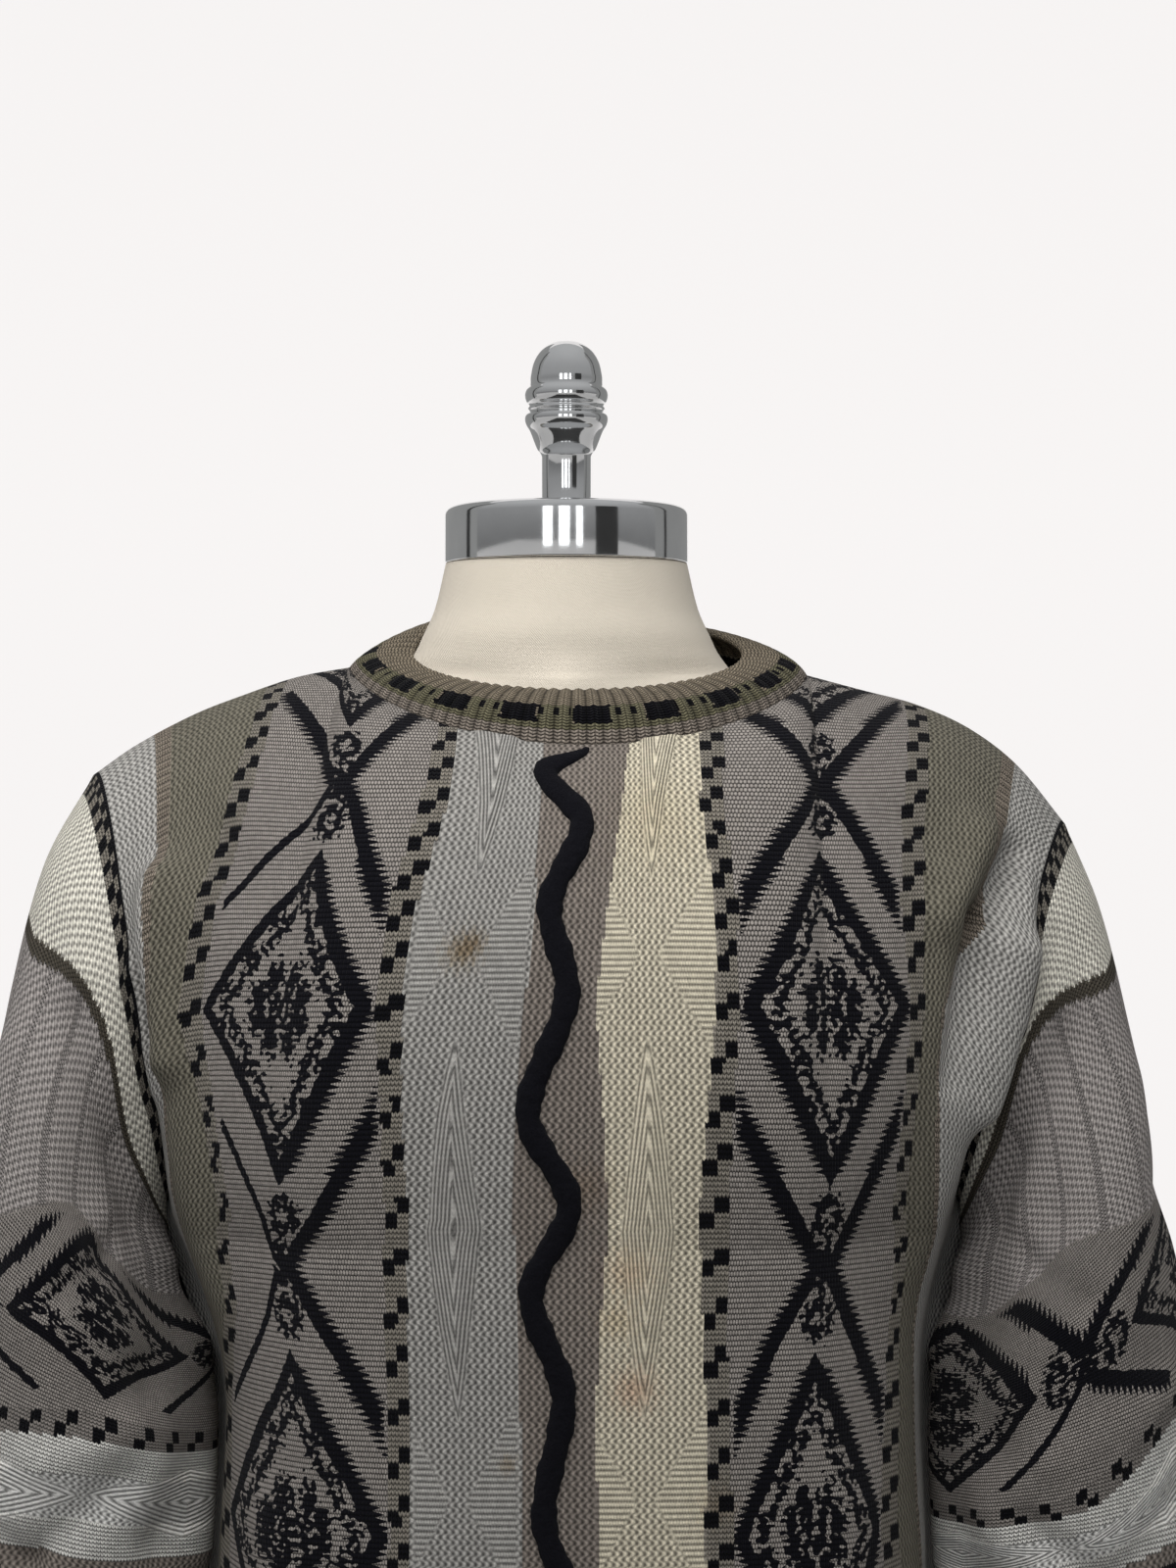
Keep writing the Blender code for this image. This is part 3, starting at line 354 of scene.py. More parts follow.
# Pairs of black squares on the narrow strips: height from the panel's foot, count
CHECK_LEVELS = (
    (-0.0065, 29.0), (0.2625, 17.0), (0.355, 13.0), (0.5225, 6.0), (0.6425, 0.0), (0.74, -5.0),
)
CHECK_MIDDLES = (-0.185, -0.082, 0.082, 0.185)
CHECK_HALF_WIDTH = 0.007
SQUARE_HALF_WIDTH = 0.0036
SQUARE_HALF_HEIGHT = 0.0037
SQUARE_SHIFTS = ((0.0034, 0.0035), (-0.0034, -0.0035))

# Outer strips: how far from the centre line each begins
OLIVE_EDGE = 0.192
LADDER_EDGE = 0.235
SIDE_EDGE = 0.2435
CHAIN_EDGE = 0.2783

# Middle strips: from and to, yarn
MIDDLE_STRIPS = ((-0.075, -0.012, "strip grey"), (-0.012, 0.018, "mauve"), (0.018, 0.075, "cream"))

# Leaf cables: heights of the leaves' middles from the panel's foot, and the size of a leaf
LEAF_LEVELS = (0.6505, 0.3955, 0.1405)
LEAF_HALF_LENGTH = 0.0915
LEAF_HALF_WIDTH = 0.0170
LEAF_BLUNTNESS = 0.8
LEAF_PITCH = 0.0024
LEAF_SOFT_EDGE = 0.0012
LEAF_STRIP_REACH = 0.033
LEAF_STRIP_HALF = 0.0305
LEAF_STRIP_SOFT_EDGE = 0.002

# Purl rows between the leaves: their pitch, and where they begin
PURL_PITCH = 0.0029
PURL_SLOPE = 1.6
PURL_FROM_AXIS = 0.004
PURL_SOFT_EDGE = 0.003

# How the leaf cables' broad relief rises on the front
CABLE_HEIGHT = 0.0022
CABLE_HALF_WIDTH = 0.022

# Strips with leaf cables: axis, and the strip's edges, as knitted
LEAF_STRIPS = ((-0.0475, -0.075, -0.012), (0.0430, 0.018, 0.075))

# Old stains on the front: across, up from the panel's foot, reach, strength, tint
STAINS = (
    (-0.0574, 0.525, 0.007, 0.75, (0.74, 0.64, 0.5)), (-0.052, 0.529, 0.0045, 0.55, (0.74, 0.64, 0.5)),
    (0.0287, 0.375, 0.01, 0.3, (0.95, 0.78, 0.66)), (0.0323, 0.32, 0.009, 0.4, (0.95, 0.74, 0.66)),
    (0.024, 0.352, 0.008, 0.3, (0.86, 0.76, 0.62)), (-0.0269, 0.285, 0.0035, 0.5, (0.76, 0.66, 0.52)),
    (0.0718, 0.265, 0.008, 0.35, (0.82, 0.72, 0.6)), (0.008, 0.415, 0.011, 0.3, (0.84, 0.72, 0.58)),
    (0.043, 0.59, 0.026, 0.22, (0.92, 0.86, 0.72)),
)

# How ragged a stain's edge is: share, pace across, pace up
STAIN_RAGGED = (0.35, 2300.0, 1900.0)

# Bands of a sleeve: from and to, measured from the armhole, yarn, share of purl
SLEEVE_BANDS = (
    (-0.1, 0.083, "sleeve cream", MOSS), (0.083, 0.093, "dark rib", 0.0), (0.093, 0.225, "honeycomb", MOSS),
    (0.225, 0.325, "taupe", 1.0), (0.325, 0.338, "taupe", 0.0), (0.338, 0.356, "pale", 0.0),
    (0.356, 0.378, "sleeve grey", MOSS), (0.378, 0.395, "pale", 0.0), (0.395, 0.44, "mauve", MOSS),
    (0.44, 0.7, "taupe", 1.0),
)
HONEYCOMB_STEP = 0.0300
HONEYCOMB_GAP = 0.0040
SEAM_STRIP = 0.0125
SEAM_SQUARE = (0.0052, 0.0062)

# Rows of dashes on a sleeve: distance down and shift round, then a dash's half height, step and width
DASH_ROWS = ((0.3290, 0.0), (0.3350, 0.0056))
DASH_HALF_HEIGHT = 0.0031
DASH_STEP = 0.0190
DASH_WIDTH = 0.0060

# The black figures of a sleeve: the top, middle and foot of their band. Its wave: middle, swing, step,
# half width
SLEEVE_FIGURES = (0.226, 0.275, 0.324)
SLEEVE_WAVE = (0.417, 0.010, 0.088, 0.0036)

# How the bands hang on each sleeve: distance from the armhole along the outer line,
# how much further along the band is at the inner side, and at the outer side
SLEEVE_HANG_LEFT = (
    (0.0, 0.03, 0.0), (0.035, 0.053, 0.0), (0.098, 0.087, 0.005), (0.138, 0.092, 0.005), (0.208, 0.067, 0.0),
    (0.28, 0.037, 0.0), (0.305, 0.027, 0.0), (0.4, 0.0, 0.0),
)
SLEEVE_HANG_RIGHT = (
    (0.0, 0.03, 0.0), (0.023, 0.062, 0.0), (0.1, 0.085, 0.008), (0.18, 0.06, 0.015), (0.24, 0.025, 0.028),
    (0.272, 0.003, 0.026), (0.318, -0.016, 0.02), (0.355, -0.026, 0.012), (0.43, 0.0, 0.0),
)
HANG_TURN_FROM = 0.035
HANG_TURN_OVER = 0.100
SLEEVE_MOTIF_STEP = 0.0835
SLEEVE_LEAF_STEP = 0.1250
SLEEVE_LEAF_LEVEL = 0.3665
SLEEVE_LEAF_HALF_WIDTH = 0.0200
SLEEVE_MOTIF_LEFT = 0.0495
SLEEVE_MOTIF_RIGHT = 0.1100

# Neckband: the tops of its low strip and of the green above it and of the dashes, as shares of its height,
# then the middle of one dash and their pitch, in points of the ribs
BAND_BORDERS = (0.17, 0.27, 0.53)
BAND_DASH_MIDDLE = 6.0
BAND_DASH_PITCH = 672.0 / 18.0

# A dash's half width as a share of the pitch, how ragged it is (share, pace round, pace up), and the heights
# where it is straight (middle, half), then the dots' heights and their least distance from a dash
BAND_DASH_HALF = 0.245
BAND_DASH_RAGGED = (0.035, 0.9, 2.1)
BAND_DASH_STRAIGHT = (0.40, 0.08)
BAND_DOTS = (0.38, 0.50, 0.27)

# Turned chrome: radius, height above the piece's foot
CAP_FOOT = 1.4783
CAP_PROFILE = (
    (0.0, 0.029), (0.056, 0.029), (0.059, 0.0283), (0.0612, 0.0266), (0.062, 0.024), (0.062, 0.0008),
    (0.0612, 0.0), (0.0, 0.0),
)
FINIAL_FOOT = 1.5076
FINIAL_PROFILE = (
    (0.0, 0.0842), (0.007, 0.0832), (0.0128, 0.0795), (0.0166, 0.0735), (0.0183, 0.066), (0.0186, 0.0615),
    (0.0206, 0.059), (0.0212, 0.0562), (0.0204, 0.053), (0.019, 0.0512), (0.0196, 0.0496), (0.0188, 0.048),
    (0.0208, 0.0462), (0.0212, 0.0438), (0.0204, 0.041), (0.0186, 0.038), (0.015, 0.029), (0.0125, 0.025),
    (0.0125, 0.003), (0.015, 0.001), (0.015, 0.0), (0.0, 0.0),
)
POLE_FOOT = 0.0263
POLE_PROFILE = ((0.0, 0.7534), (0.0119, 0.7534), (0.0125, 0.7528), (0.0125, 0.0), (0.0, 0.0))
BASE_PROFILE = (
    (0.0, 0.026), (0.02, 0.026), (0.028, 0.0225), (0.034, 0.016), (0.17, 0.013), (0.185, 0.0105),
    (0.19, 0.006), (0.188, 0.0), (0.0, 0.0),
)
TURNED_STEPS = 96
PROFILE_STEPS = 5
LONGEST_CURVED = 0.02
SHARP_DEGREES = 50

# The radius at which the map of a piece that isn't knitted is true to size
MAP_RADIUS = 0.062

# Rows of faces on the hem, cuffs and neckband, and round their turned edges
RIB_ROWS = 26
BAND_ROWS = 24
RIM_ROWS = 3
TURNED_IN_ROWS = 8

# Camera: the photo's frame is 1200 by 1600 pixels, at half a millimetre a pixel at the neck's depth
CAMERA_PLACE = (0.011, -1.71, 1.366)
CAMERA_LENS_MM = 77.0
CAMERA_SENSOR_MM = 36.0

# Backdrop
BACKDROP_REACH = 24.0
BACKDROP_Y = 6.2
BACKDROP_CURVE = 2.0
BACKDROP_TOP = 12.0
BACKDROP_COLUMNS = 8
BACKDROP_CURVE_STEPS = 24
FLOOR_STEPS = (-4.0, 0.0, 0.8, 1.6, 2.4, 3.2)
BELOW_THE_BASE = 0.0005
BACKDROP_COLOUR = (0.20, 0.198, 0.196)
FLOOR_COLOUR = (0.72, 0.715, 0.705)
FLOOR_GLOW = 0.20
BACKDROP_GLOW = (0.836, 0.816, 0.810)

# Cards that the camera doesn't see, which darken the cloth's sides and the chrome:
# name, place, width, height, turn about the vertical in degrees, brightness
CARDS = (
    ("card_left", (-3.71, 3.1, 1.6), 7.0, 11.4, 55.9, 0.27),
    ("card_left_edge", (-4.2, 1.1, 2.2), 0.4, 9.8, 70.0, 0.01),
    ("card_right", (3.71, 3.1, 1.6), 7.0, 11.4, 124.1, 0.24),
    ("card_right_edge", (4.3, 1.3, 2.2), 0.3, 9.8, -70.0, 0.02),
    ("card_front", (4.6, -5.75, 2.1), 2.85, 3.7, 38.0, 0.015),
    ("card_low", (0.0, -1.6, 0.5), 2.6, 2.2, 0.0, 0.012),
)

# Lights: name, place, target, width, height, power, colour
LIGHTS = (
    ("key", (-0.22, -0.78, 2.24), (0.0, -0.02, 1.3), 1.4, 0.6, 14.2, (1.0, 0.985, 0.965)),
    ("window_left", (-0.62, -2.05, 1.75), (0.0, 0.0, 1.4), 0.32, 0.95, 2.0, (0.97, 0.985, 1.0)),
    ("window_middle", (-0.06, -2.15, 1.75), (0.0, 0.0, 1.4), 0.36, 0.95, 2.3, (0.97, 0.985, 1.0)),
    ("window_right", (0.46, -2.1, 1.75), (0.0, 0.0, 1.4), 0.2, 0.95, 1.4, (0.97, 0.985, 1.0)),
)

# Air round the studio: height on the sphere, brightness
AIR = ((0.0, 0.03), (0.42, 0.12), (0.58, 0.30), (1.0, 0.50))


def hermite(start, leave, end, reach, share):
    """A point of the cubic from start to end with the tangents leave and reach."""
    squared = share * share
    cubed = squared * share
    return (
        (2 * cubed - 3 * squared + 1) * start
        + (cubed - 2 * squared + share) * leave
        + (3 * squared - 2 * cubed) * end
        + (cubed - squared) * reach
    )


def unit(vectors):
    return vectors / np.maximum(np.linalg.norm(vectors, axis=-1), 1e-12)[..., None]


def ease(value):
    value = np.clip(value, 0.0, 1.0)
    return value * value * (3.0 - 2.0 * value)


def even_turns(count):
    return np.arange(count) * 2 * math.pi / count


def run_lengths(points):
    """The length from the first point to each, along the first axis."""
    steps = np.linalg.norm(np.diff(points, axis=0), axis=-1)
    return np.concatenate((np.zeros((1, *steps.shape[1:])), np.cumsum(steps, axis=0)))


def between(places, keys, points):
    """The points at some places along a line, where keys are the places of its own points."""
    return np.stack([np.interp(places, keys, column) for column in points.T], axis=1)


def even_ring(loop, columns):
    """Points at even distances round a closed loop."""
    closed = np.vstack((loop, loop[:1]))
    lengths = run_lengths(closed)
    return between(np.arange(columns) * lengths[-1] / columns, lengths, closed)


def along(rows, place):
    """The other columns of a table at a place in its first column, on a smooth curve."""
    table = np.array(rows)
    keys, values = table[:, 0], table[:, 1:]
    place = min(max(place, keys[0]), keys[-1])
    index = min(max(np.searchsorted(keys, place, "right") - 1, 0), len(rows) - 2)
    span = keys[index + 1] - keys[index]

    def slope(at):
        low, high = max(at - 1, 0), min(at + 1, len(rows) - 1)
        return (values[high] - values[low]) / (keys[high] - keys[low])

    share = (place - keys[index]) / span
    return hermite(values[index], slope(index) * span, values[index + 1], slope(index + 1) * span, share)


def squared_arc(half_width, depth, squareness, shares):
    """Across and out for a quarter of a squared ellipse, at shares of its length from the middle."""
    turns = np.linspace(0.0, math.pi / 2, ARC_STEPS + 1)
    power = 2.0 / squareness
    arc = np.stack((half_width * np.sin(turns) ** power, depth * np.cos(turns) ** power), axis=1)
    lengths = run_lengths(arc)
    return between(shares * lengths[-1], lengths, arc).T


def body_ring(front, height, flats):
    """Half a ring of the body, front or back, at the wales' flat distances."""
    left, right, ahead, behind, squareness = along(BODY_RINGS, height)
    points = np.full((len(flats), 3), height)
    for side, half_width in ((-1, left), (1, right)):
        chosen = (flats > 0) == (side > 0)
        shares = np.abs(flats[chosen]) / PANEL_HALF
        across, out = squared_arc(half_width, ahead if front else behind, squareness, shares)
        points[chosen, 0] = side * across
        points[chosen, 1] = -out if front else out
    return points


def neck_seam_point(turn):
    """A point of the neck seam at a turn from the front, in radians."""
    ahead, across = math.cos(turn), math.sin(turn)
    depth = NECK_FRONT if ahead > 0 else NECK_BACK
    rise = -NECK_FRONT_DROP if ahead > 0 else NECK_BACK_RISE
    height = NECK_SIDE_HEIGHT - NECK_SIDE_TILT * across + rise * abs(ahead) ** NECK_DIP_POWER
    return np.array((NECK_X + NECK_HALF_WIDTH * across, -depth * ahead, height))


def armhole_weight(flats):
    """How much a wale follows the armhole's edge, from 0 inside to 1 at the edge."""
    return ease((np.abs(flats) / PANEL_HALF - ARMHOLE_BLEND_FROM) / (1.0 - ARMHOLE_BLEND_FROM))


def top_edge(front, flats):
    """The panel's top edge: shoulder, neck and shoulder, with how its wales reach it."""
    points = np.zeros((len(flats), 3))
    reaches = np.zeros((len(flats), 3))
    facing = 1.0 if front else -1.0
    neck_reach = FRONT_NECK_REACH if front else BACK_NECK_REACH
    turns = FRONT_NECK_TURNS if front else BACK_NECK_TURNS
    for wale, flat in enumerate(flats):
        if NECK_POINT_LEFT < flat < NECK_POINT_RIGHT:
            turn = math.radians(along(turns, flat)[0])
            points[wale] = neck_seam_point(turn if front else math.pi - turn)
            middle = math.cos(turn)
            inward = middle * neck_reach[0] + (1.0 - middle) * SHOULDER_REACH
            reaches[wale] = (0.0, facing * inward, middle * neck_reach[1])
            continue
        neck_point = NECK_POINT_RIGHT if flat > 0 else NECK_POINT_LEFT
        table = SHOULDER_RIGHT if flat > 0 else SHOULDER_LEFT
        across, height = along(table, (abs(flat) - abs(neck_point)) / (PANEL_HALF - abs(neck_point)))
        points[wale] = (across, 0.0, height)
        outward = along(table, 1.0) - along(table, SHOULDER_TIP_FROM)
        outward *= ARMHOLE_OUTWARD * armhole_weight(flat) / np.linalg.norm(outward)
        reaches[wale] = (outward[0], facing * SHOULDER_REACH, outward[1])
    return points, reaches


def panel_curves(front, flats):
    """Fine points along each wale of a panel, from its foot to its top edge."""
    rows = [body_ring(front, height, flats) for height in np.linspace(PANEL_FOOT, UNDERARM, LOW_SAMPLES + 1)]
    start = rows[-1]
    end, reach = top_edge(front, flats)
    facing = -1.0 if front else 1.0
    forward, upward = CHEST_LEAVE if front else SHOULDER_BLADE_LEAVE
    weight = armhole_weight(flats)[:, None]
    inside = np.zeros((len(flats), 3))
    fullness = SIDE_FULLNESS * ease((np.abs(flats) - SIDE_FULLNESS_FROM) / SIDE_FULLNESS_OVER)
    inside[:, 1] = facing * (forward + fullness)
    inside[:, 2] = upward
    edge = np.array((0.0, facing * ARMHOLE_LEAVE[0], ARMHOLE_LEAVE[1]))
    leave = inside * (1.0 - weight) + edge * weight
    for share in np.linspace(0.0, 1.0, HIGH_SAMPLES + 1)[1:]:
        rows.append(hermite(start, leave, end, reach, share))
    return np.array(rows)


def panel_lattice(curves):
    """Points where wales and courses cross, each wale's courses, and the lengths of its curve."""
    lengths = run_lengths(curves)
    levels = np.arange(math.ceil(lengths[-1].max() / COURSE) + 1) * COURSE
    wales = range(curves.shape[1])
    points = np.stack([between(levels, lengths[:, wale], curves[:, wale]) for wale in wales], axis=1)
    return points, lengths[-1] / COURSE, lengths


def lattice_normals(points, wraps=False):
    """Unit normals at a lattice's points, from the faces round each."""
    if wraps:
        points = np.concatenate((points[:, -1:], points, points[:, :1]), axis=1)
    faces = np.cross(points[:-1, 1:] - points[1:, :-1], points[1:, 1:] - points[:-1, :-1])
    sums = np.zeros(points.shape)
    for rows in (slice(None, -1), slice(1, None)):
        for columns in (slice(None, -1), slice(1, None)):
            sums[rows, columns] += faces
    return unit(sums[:, 1:-1] if wraps else sums)


def fold_height(points, folds):
    """How far a table of folds, in millimetres, lifts each point of the cloth."""
    total = np.zeros(points.shape[:-1])
    for row in np.array(folds) / 1000:
        one_end, run = row[:3], row[3:6] - row[:3]
        share = ((points - one_end) @ run) / (run @ run)
        nearest = one_end + np.clip(share, 0.0, 1.0)[..., None] * run
        away = np.linalg.norm(points - nearest, axis=-1)
        total += row[7] * np.exp(-((away / row[6]) ** 2))
    return total


def last_rows(tops):
    """The row of each wale's last point."""
    return np.ceil(tops - 1e-6).astype(int)


def settle(points, tops):
    """The lattice with the places beyond each wale's end moved to its end."""
    rows = np.minimum(np.arange(len(points))[:, None], last_rows(tops))
    return points[rows, np.arange(len(tops))]


def make_panels():
    """Both body panels as lattices before and after folding, in the same order of wales."""
    flats = np.linspace(-PANEL_HALF, PANEL_HALF, PANEL_WALES + 1)
    neck = (flats > NECK_POINT_LEFT) & (flats < NECK_POINT_RIGHT)
    made = {}
    for front in (True, False):
        points, tops, lengths = panel_lattice(panel_curves(front, flats))
        made[front] = (points, tops, lengths, lattice_normals(points) * (1.0 if front else -1.0))
    underarm = int((UNDERARM - PANEL_FOOT) / COURSE)
    shoulder = np.nonzero(~neck)[0]
    joins = [[(slice(underarm), wale)] * 2 for wale in (0, -1)]
    joins.append([(last_rows(made[front][1])[shoulder], shoulder) for front in (True, False)])
    for places in joins:
        mean = unit(made[True][3][places[0]] + made[False][3][places[1]])
        made[True][3][places[0]] = mean
        made[False][3][places[1]] = mean
    panels = {}
    for front, (points, tops, lengths, normals) in made.items():
        folded = points + normals * fold_height(points, FOLDS + PANEL_CREASES)[..., None]
        panels[front] = Panel(settle(points, tops), settle(folded, tops), normals, tops, lengths)
    return panels, flats, neck


def armhole_loops(panels, wale):
    """The armhole from the shoulder's tip down the front and up the back, before and after folding."""
    turns = even_turns(SLEEVE_WALES)
    shares = np.abs(1.0 - turns / math.pi)
    loops = []
    for state in ("plain", "folded"):
        sides = []
        for front in (True, False):
            panel = panels[front]
            samples = np.linspace(0.0, 1.0, HIGH_SAMPLES + 1)
            lengths = np.interp(shares, samples, panel.lengths[LOW_SAMPLES:, wale])
            points = getattr(panel, state)[:, wale]
            places = np.minimum(np.arange(len(points)), panel.tops[wale]) * COURSE
            sides.append(between(lengths, places, points))
        loops.append(np.where((turns <= math.pi)[:, None], *sides))
    return loops


def sleeve_lattice(stations, plain_hole, folded_hole, mirrored):
    """A sleeve's points, rows from the cuff's end up to the armhole, facing out."""
    turns = even_turns(SLEEVE_WALES)
    rows = []
    for share in np.linspace(0.0, 1.0, SLEEVE_COURSES + 1):
        outer_x, outer_z, inner_x, inner_z, middle_y, ahead, behind = along(stations, share)
        outer = np.array((outer_x, middle_y, outer_z))
        inner = np.array((inner_x, middle_y, inner_z))
        ring = (outer + inner) / 2 + np.cos(turns)[:, None] * (outer - inner) / 2
        ring[:, 1] -= np.sin(turns) * np.where(np.sin(turns) > 0, ahead, behind)
        if share == 0.0:
            correction = plain_hole - ring
        rows.append(ring + correction * (1.0 - ease(share / SLEEVE_HEAD_SHARE)))
    plain = np.array(rows)[::-1]
    shift = folded_hole - plain_hole
    if mirrored:
        plain, shift = plain[:, ::-1], shift[::-1]
    shares = np.linspace(1.0, 0.0, SLEEVE_COURSES + 1)[:, None]
    weight = ease(shares / SEAM_BLEND_SHARE)
    from_seam = shares * SLEEVE_LENGTH
    groove = SEAM_GROOVE * np.exp(-(((from_seam - SEAM_GROOVE_WIDTH) / SEAM_GROOVE_WIDTH) ** 2))
    lift = (fold_height(plain, FOLDS + SLEEVE_CREASES) + groove) * weight
    return plain + lattice_normals(plain, True) * lift[..., None] + shift * (1.0 - weight)[..., None]


def rib_lattice(loop, ribs, height, sizes):
    """A hem's or cuff's outer face, rows from its own foot up to the edge that it is sewn to."""
    ring = even_ring(loop, ribs * RIB_POINTS)
    centre = ring.mean(axis=0)
    rows = []
    for share in np.linspace(1.0, 0.0, RIB_ROWS + 1):
        row = centre + (ring - centre) * np.interp(share, *np.array(sizes).T)
        row[:, 2] = ring[:, 2] - share * height
        rows.append(row)
    return np.array(rows)


def band_top_point(foot):
    """The point of the neckband's top edge above a point of the neck seam."""
    depth = NECK_FRONT if foot[1] < 0 else NECK_BACK
    turn = math.atan2((foot[0] - NECK_X) / NECK_HALF_WIDTH, -foot[1] / depth)
    ahead, across = math.cos(turn), math.sin(turn)
    depth = BAND_TOP_FRONT if ahead > 0 else BAND_TOP_BACK
    rise = BAND_BACK_LEFT_RISE * max(0.0, -ahead) * max(0.0, -across)
    height = BAND_TOP_HEIGHT - BAND_TOP_TILT * ahead + rise
    return np.array((NECK_X + BAND_TOP_HALF_WIDTH * across, -depth * ahead, height))


def band_lattice(ahead, behind):
    """The neckband's outer face, rows from the neck seam up, columns from the front's middle round."""
    middle = int(np.argmin(np.abs(ahead[:, 0] - NECK_X)))
    foot = even_ring(np.roll(np.vstack((ahead, behind)), -middle, axis=0), BAND_RIBS * RIB_POINTS)
    top = np.array([band_top_point(point) for point in foot])
    outward = foot - np.array((NECK_X, 0.0, NECK_SIDE_HEIGHT))
    outward[:, 2] = BAND_BULGE_LIFT
    control = (foot + top) / 2 + 2.0 * BAND_BULGE * unit(outward)
    shares = np.linspace(0.0, 1.0, BAND_ROWS + 1)[:, None, None]
    return foot * (1 - shares) ** 2 + control * 2 * shares * (1 - shares) + top * shares**2


def rib_wall(outer, wall, top_turned, inner_rib, inner_rows):
    """A rib's outer face turned over at an edge and led back down its inside, as one surface.

    The turned edge is the foot of a hem or cuff, or the top of a neckband.
    """
    normals = lattice_normals(outer, True)
    turns = 2 * math.pi * np.arange(outer.shape[1]) / RIB_POINTS
    ribs = ((0.5 + 0.5 * np.cos(turns)) ** RIB_ROUNDNESS)[None, :, None]
    proud = outer + normals * (RIB_DEPTH * (ribs - 0.5))
    plain = outer + normals * (inner_rib * ribs - wall)
    edge, inward = (-1, -2) if top_turned else (0, 1)
    away = unit(outer[edge] - outer[inward])
    middle = (proud[edge] + plain[edge]) / 2
    reach = (proud[edge] - plain[edge]) / 2
    turns = np.linspace(0.0, math.pi, RIM_ROWS + 2)[1:-1, None, None]
    rim = middle + reach * np.cos(turns) + away * (wall / 2) * np.sin(turns)
    if top_turned:
        return np.concatenate((proud, rim, plain[::-1][:inner_rows]))
    return np.concatenate((plain[:inner_rows][::-1], rim[::-1], proud))


def fill(rows, field, values, kind=np.float32):
    rows.foreach_set(field, np.asarray(values, kind).ravel())


def stitch_mesh(name, points, tops, wraps, grain):
    """A mesh with one face for each stitch, with the kept stitches' courses and wales."""
    rows, columns = points.shape[:2]
    wales = columns if wraps else columns - 1
    if tops is None:
        tops = np.full(columns, rows - 1.0)
    course, wale = np.indices((rows - 1, wales))
    kept = course < np.maximum(tops[wale], tops[(wale + 1) % columns]) - 1e-6
    course, wale = course[kept], wale[kept]
    across = wale[:, None] + np.array((0, 1, 1, 0))
    up = course[:, None] + np.array((0, 0, 1, 1))
    corner_wales = across % columns
    places = np.minimum(up, last_rows(tops)[corner_wales]) * columns + corner_wales
    used = np.ones(places.shape, bool)
    used[:, 2] = places[:, 2] != places[:, 1]
    used[:, 3] = places[:, 3] != places[:, 0]
    found, index = np.unique(places[used], return_inverse=True)
    counts = used.sum(axis=1)
    mesh = bpy.data.meshes.new(name)
    mesh.vertices.add(len(found))
    fill(mesh.vertices, "co", points.reshape(-1, 3)[found])
    mesh.loops.add(len(index))
    fill(mesh.loops, "vertex_index", index, np.int32)
    mesh.polygons.add(len(counts))
    fill(mesh.polygons, "loop_start", np.cumsum(counts) - counts, np.int32)
    mesh.update(calc_edges=True)
    mesh.shade_smooth()
    stitches = np.stack((across, np.minimum(up, tops[corner_wales])), axis=-1)[used]
    margin = 0.001
    scale = (1.0 - 2 * margin) / np.array((wales, rows - 1))
    fill(mesh.uv_layers.new(name="cells").data, "uv", stitches * grain)
    fill(mesh.uv_layers.new(name="OFBake").data, "uv", margin + stitches * scale)
    return mesh, course, wale, counts, found


def paint(mesh, name, kind, field, values, counts):
    """Store one colour for each stitch at its corners."""
    layer = mesh.color_attributes.new(name=name, type=kind, domain="CORNER")
    full = np.ones((len(values), 4))
    full[:, :3] = values
    fill(layer.data, field, np.repeat(full, counts, axis=0))


def add_piece(name, mesh, finish, node):
    mesh.materials.append(finish)
    item = bpy.data.objects.new(name, mesh)
    bpy.context.scene.collection.objects.link(item)
    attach(item, "root")
    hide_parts(node)
    return item


def cord_path():
    """Heights and distances across of the wavy cord's middle line, from its top down."""
    turns = [CORD_TOP, *CORD_TURNS]
    swing = CORD_LOWER_SWING
    while turns[-1][0] - CORD_LOWER_TURN > CORD_FOOT:
        turns.append((turns[-1][0] - CORD_LOWER_TURN, CORD_LOWER_MIDDLE + swing))
        swing = -swing
    turns.append((CORD_FOOT, CORD_LOWER_MIDDLE))
    keys, places = np.array(turns[::-1]).T
    heights = np.linspace(CORD_TOP[0], CORD_FOOT, CORD_STEPS + 1)
    index = np.clip(np.searchsorted(keys, heights, "right") - 1, 0, len(keys) - 2)
    share = ease((heights - keys[index]) / (keys[index + 1] - keys[index]))
    return heights, places[index] + (places[index + 1] - places[index]) * share


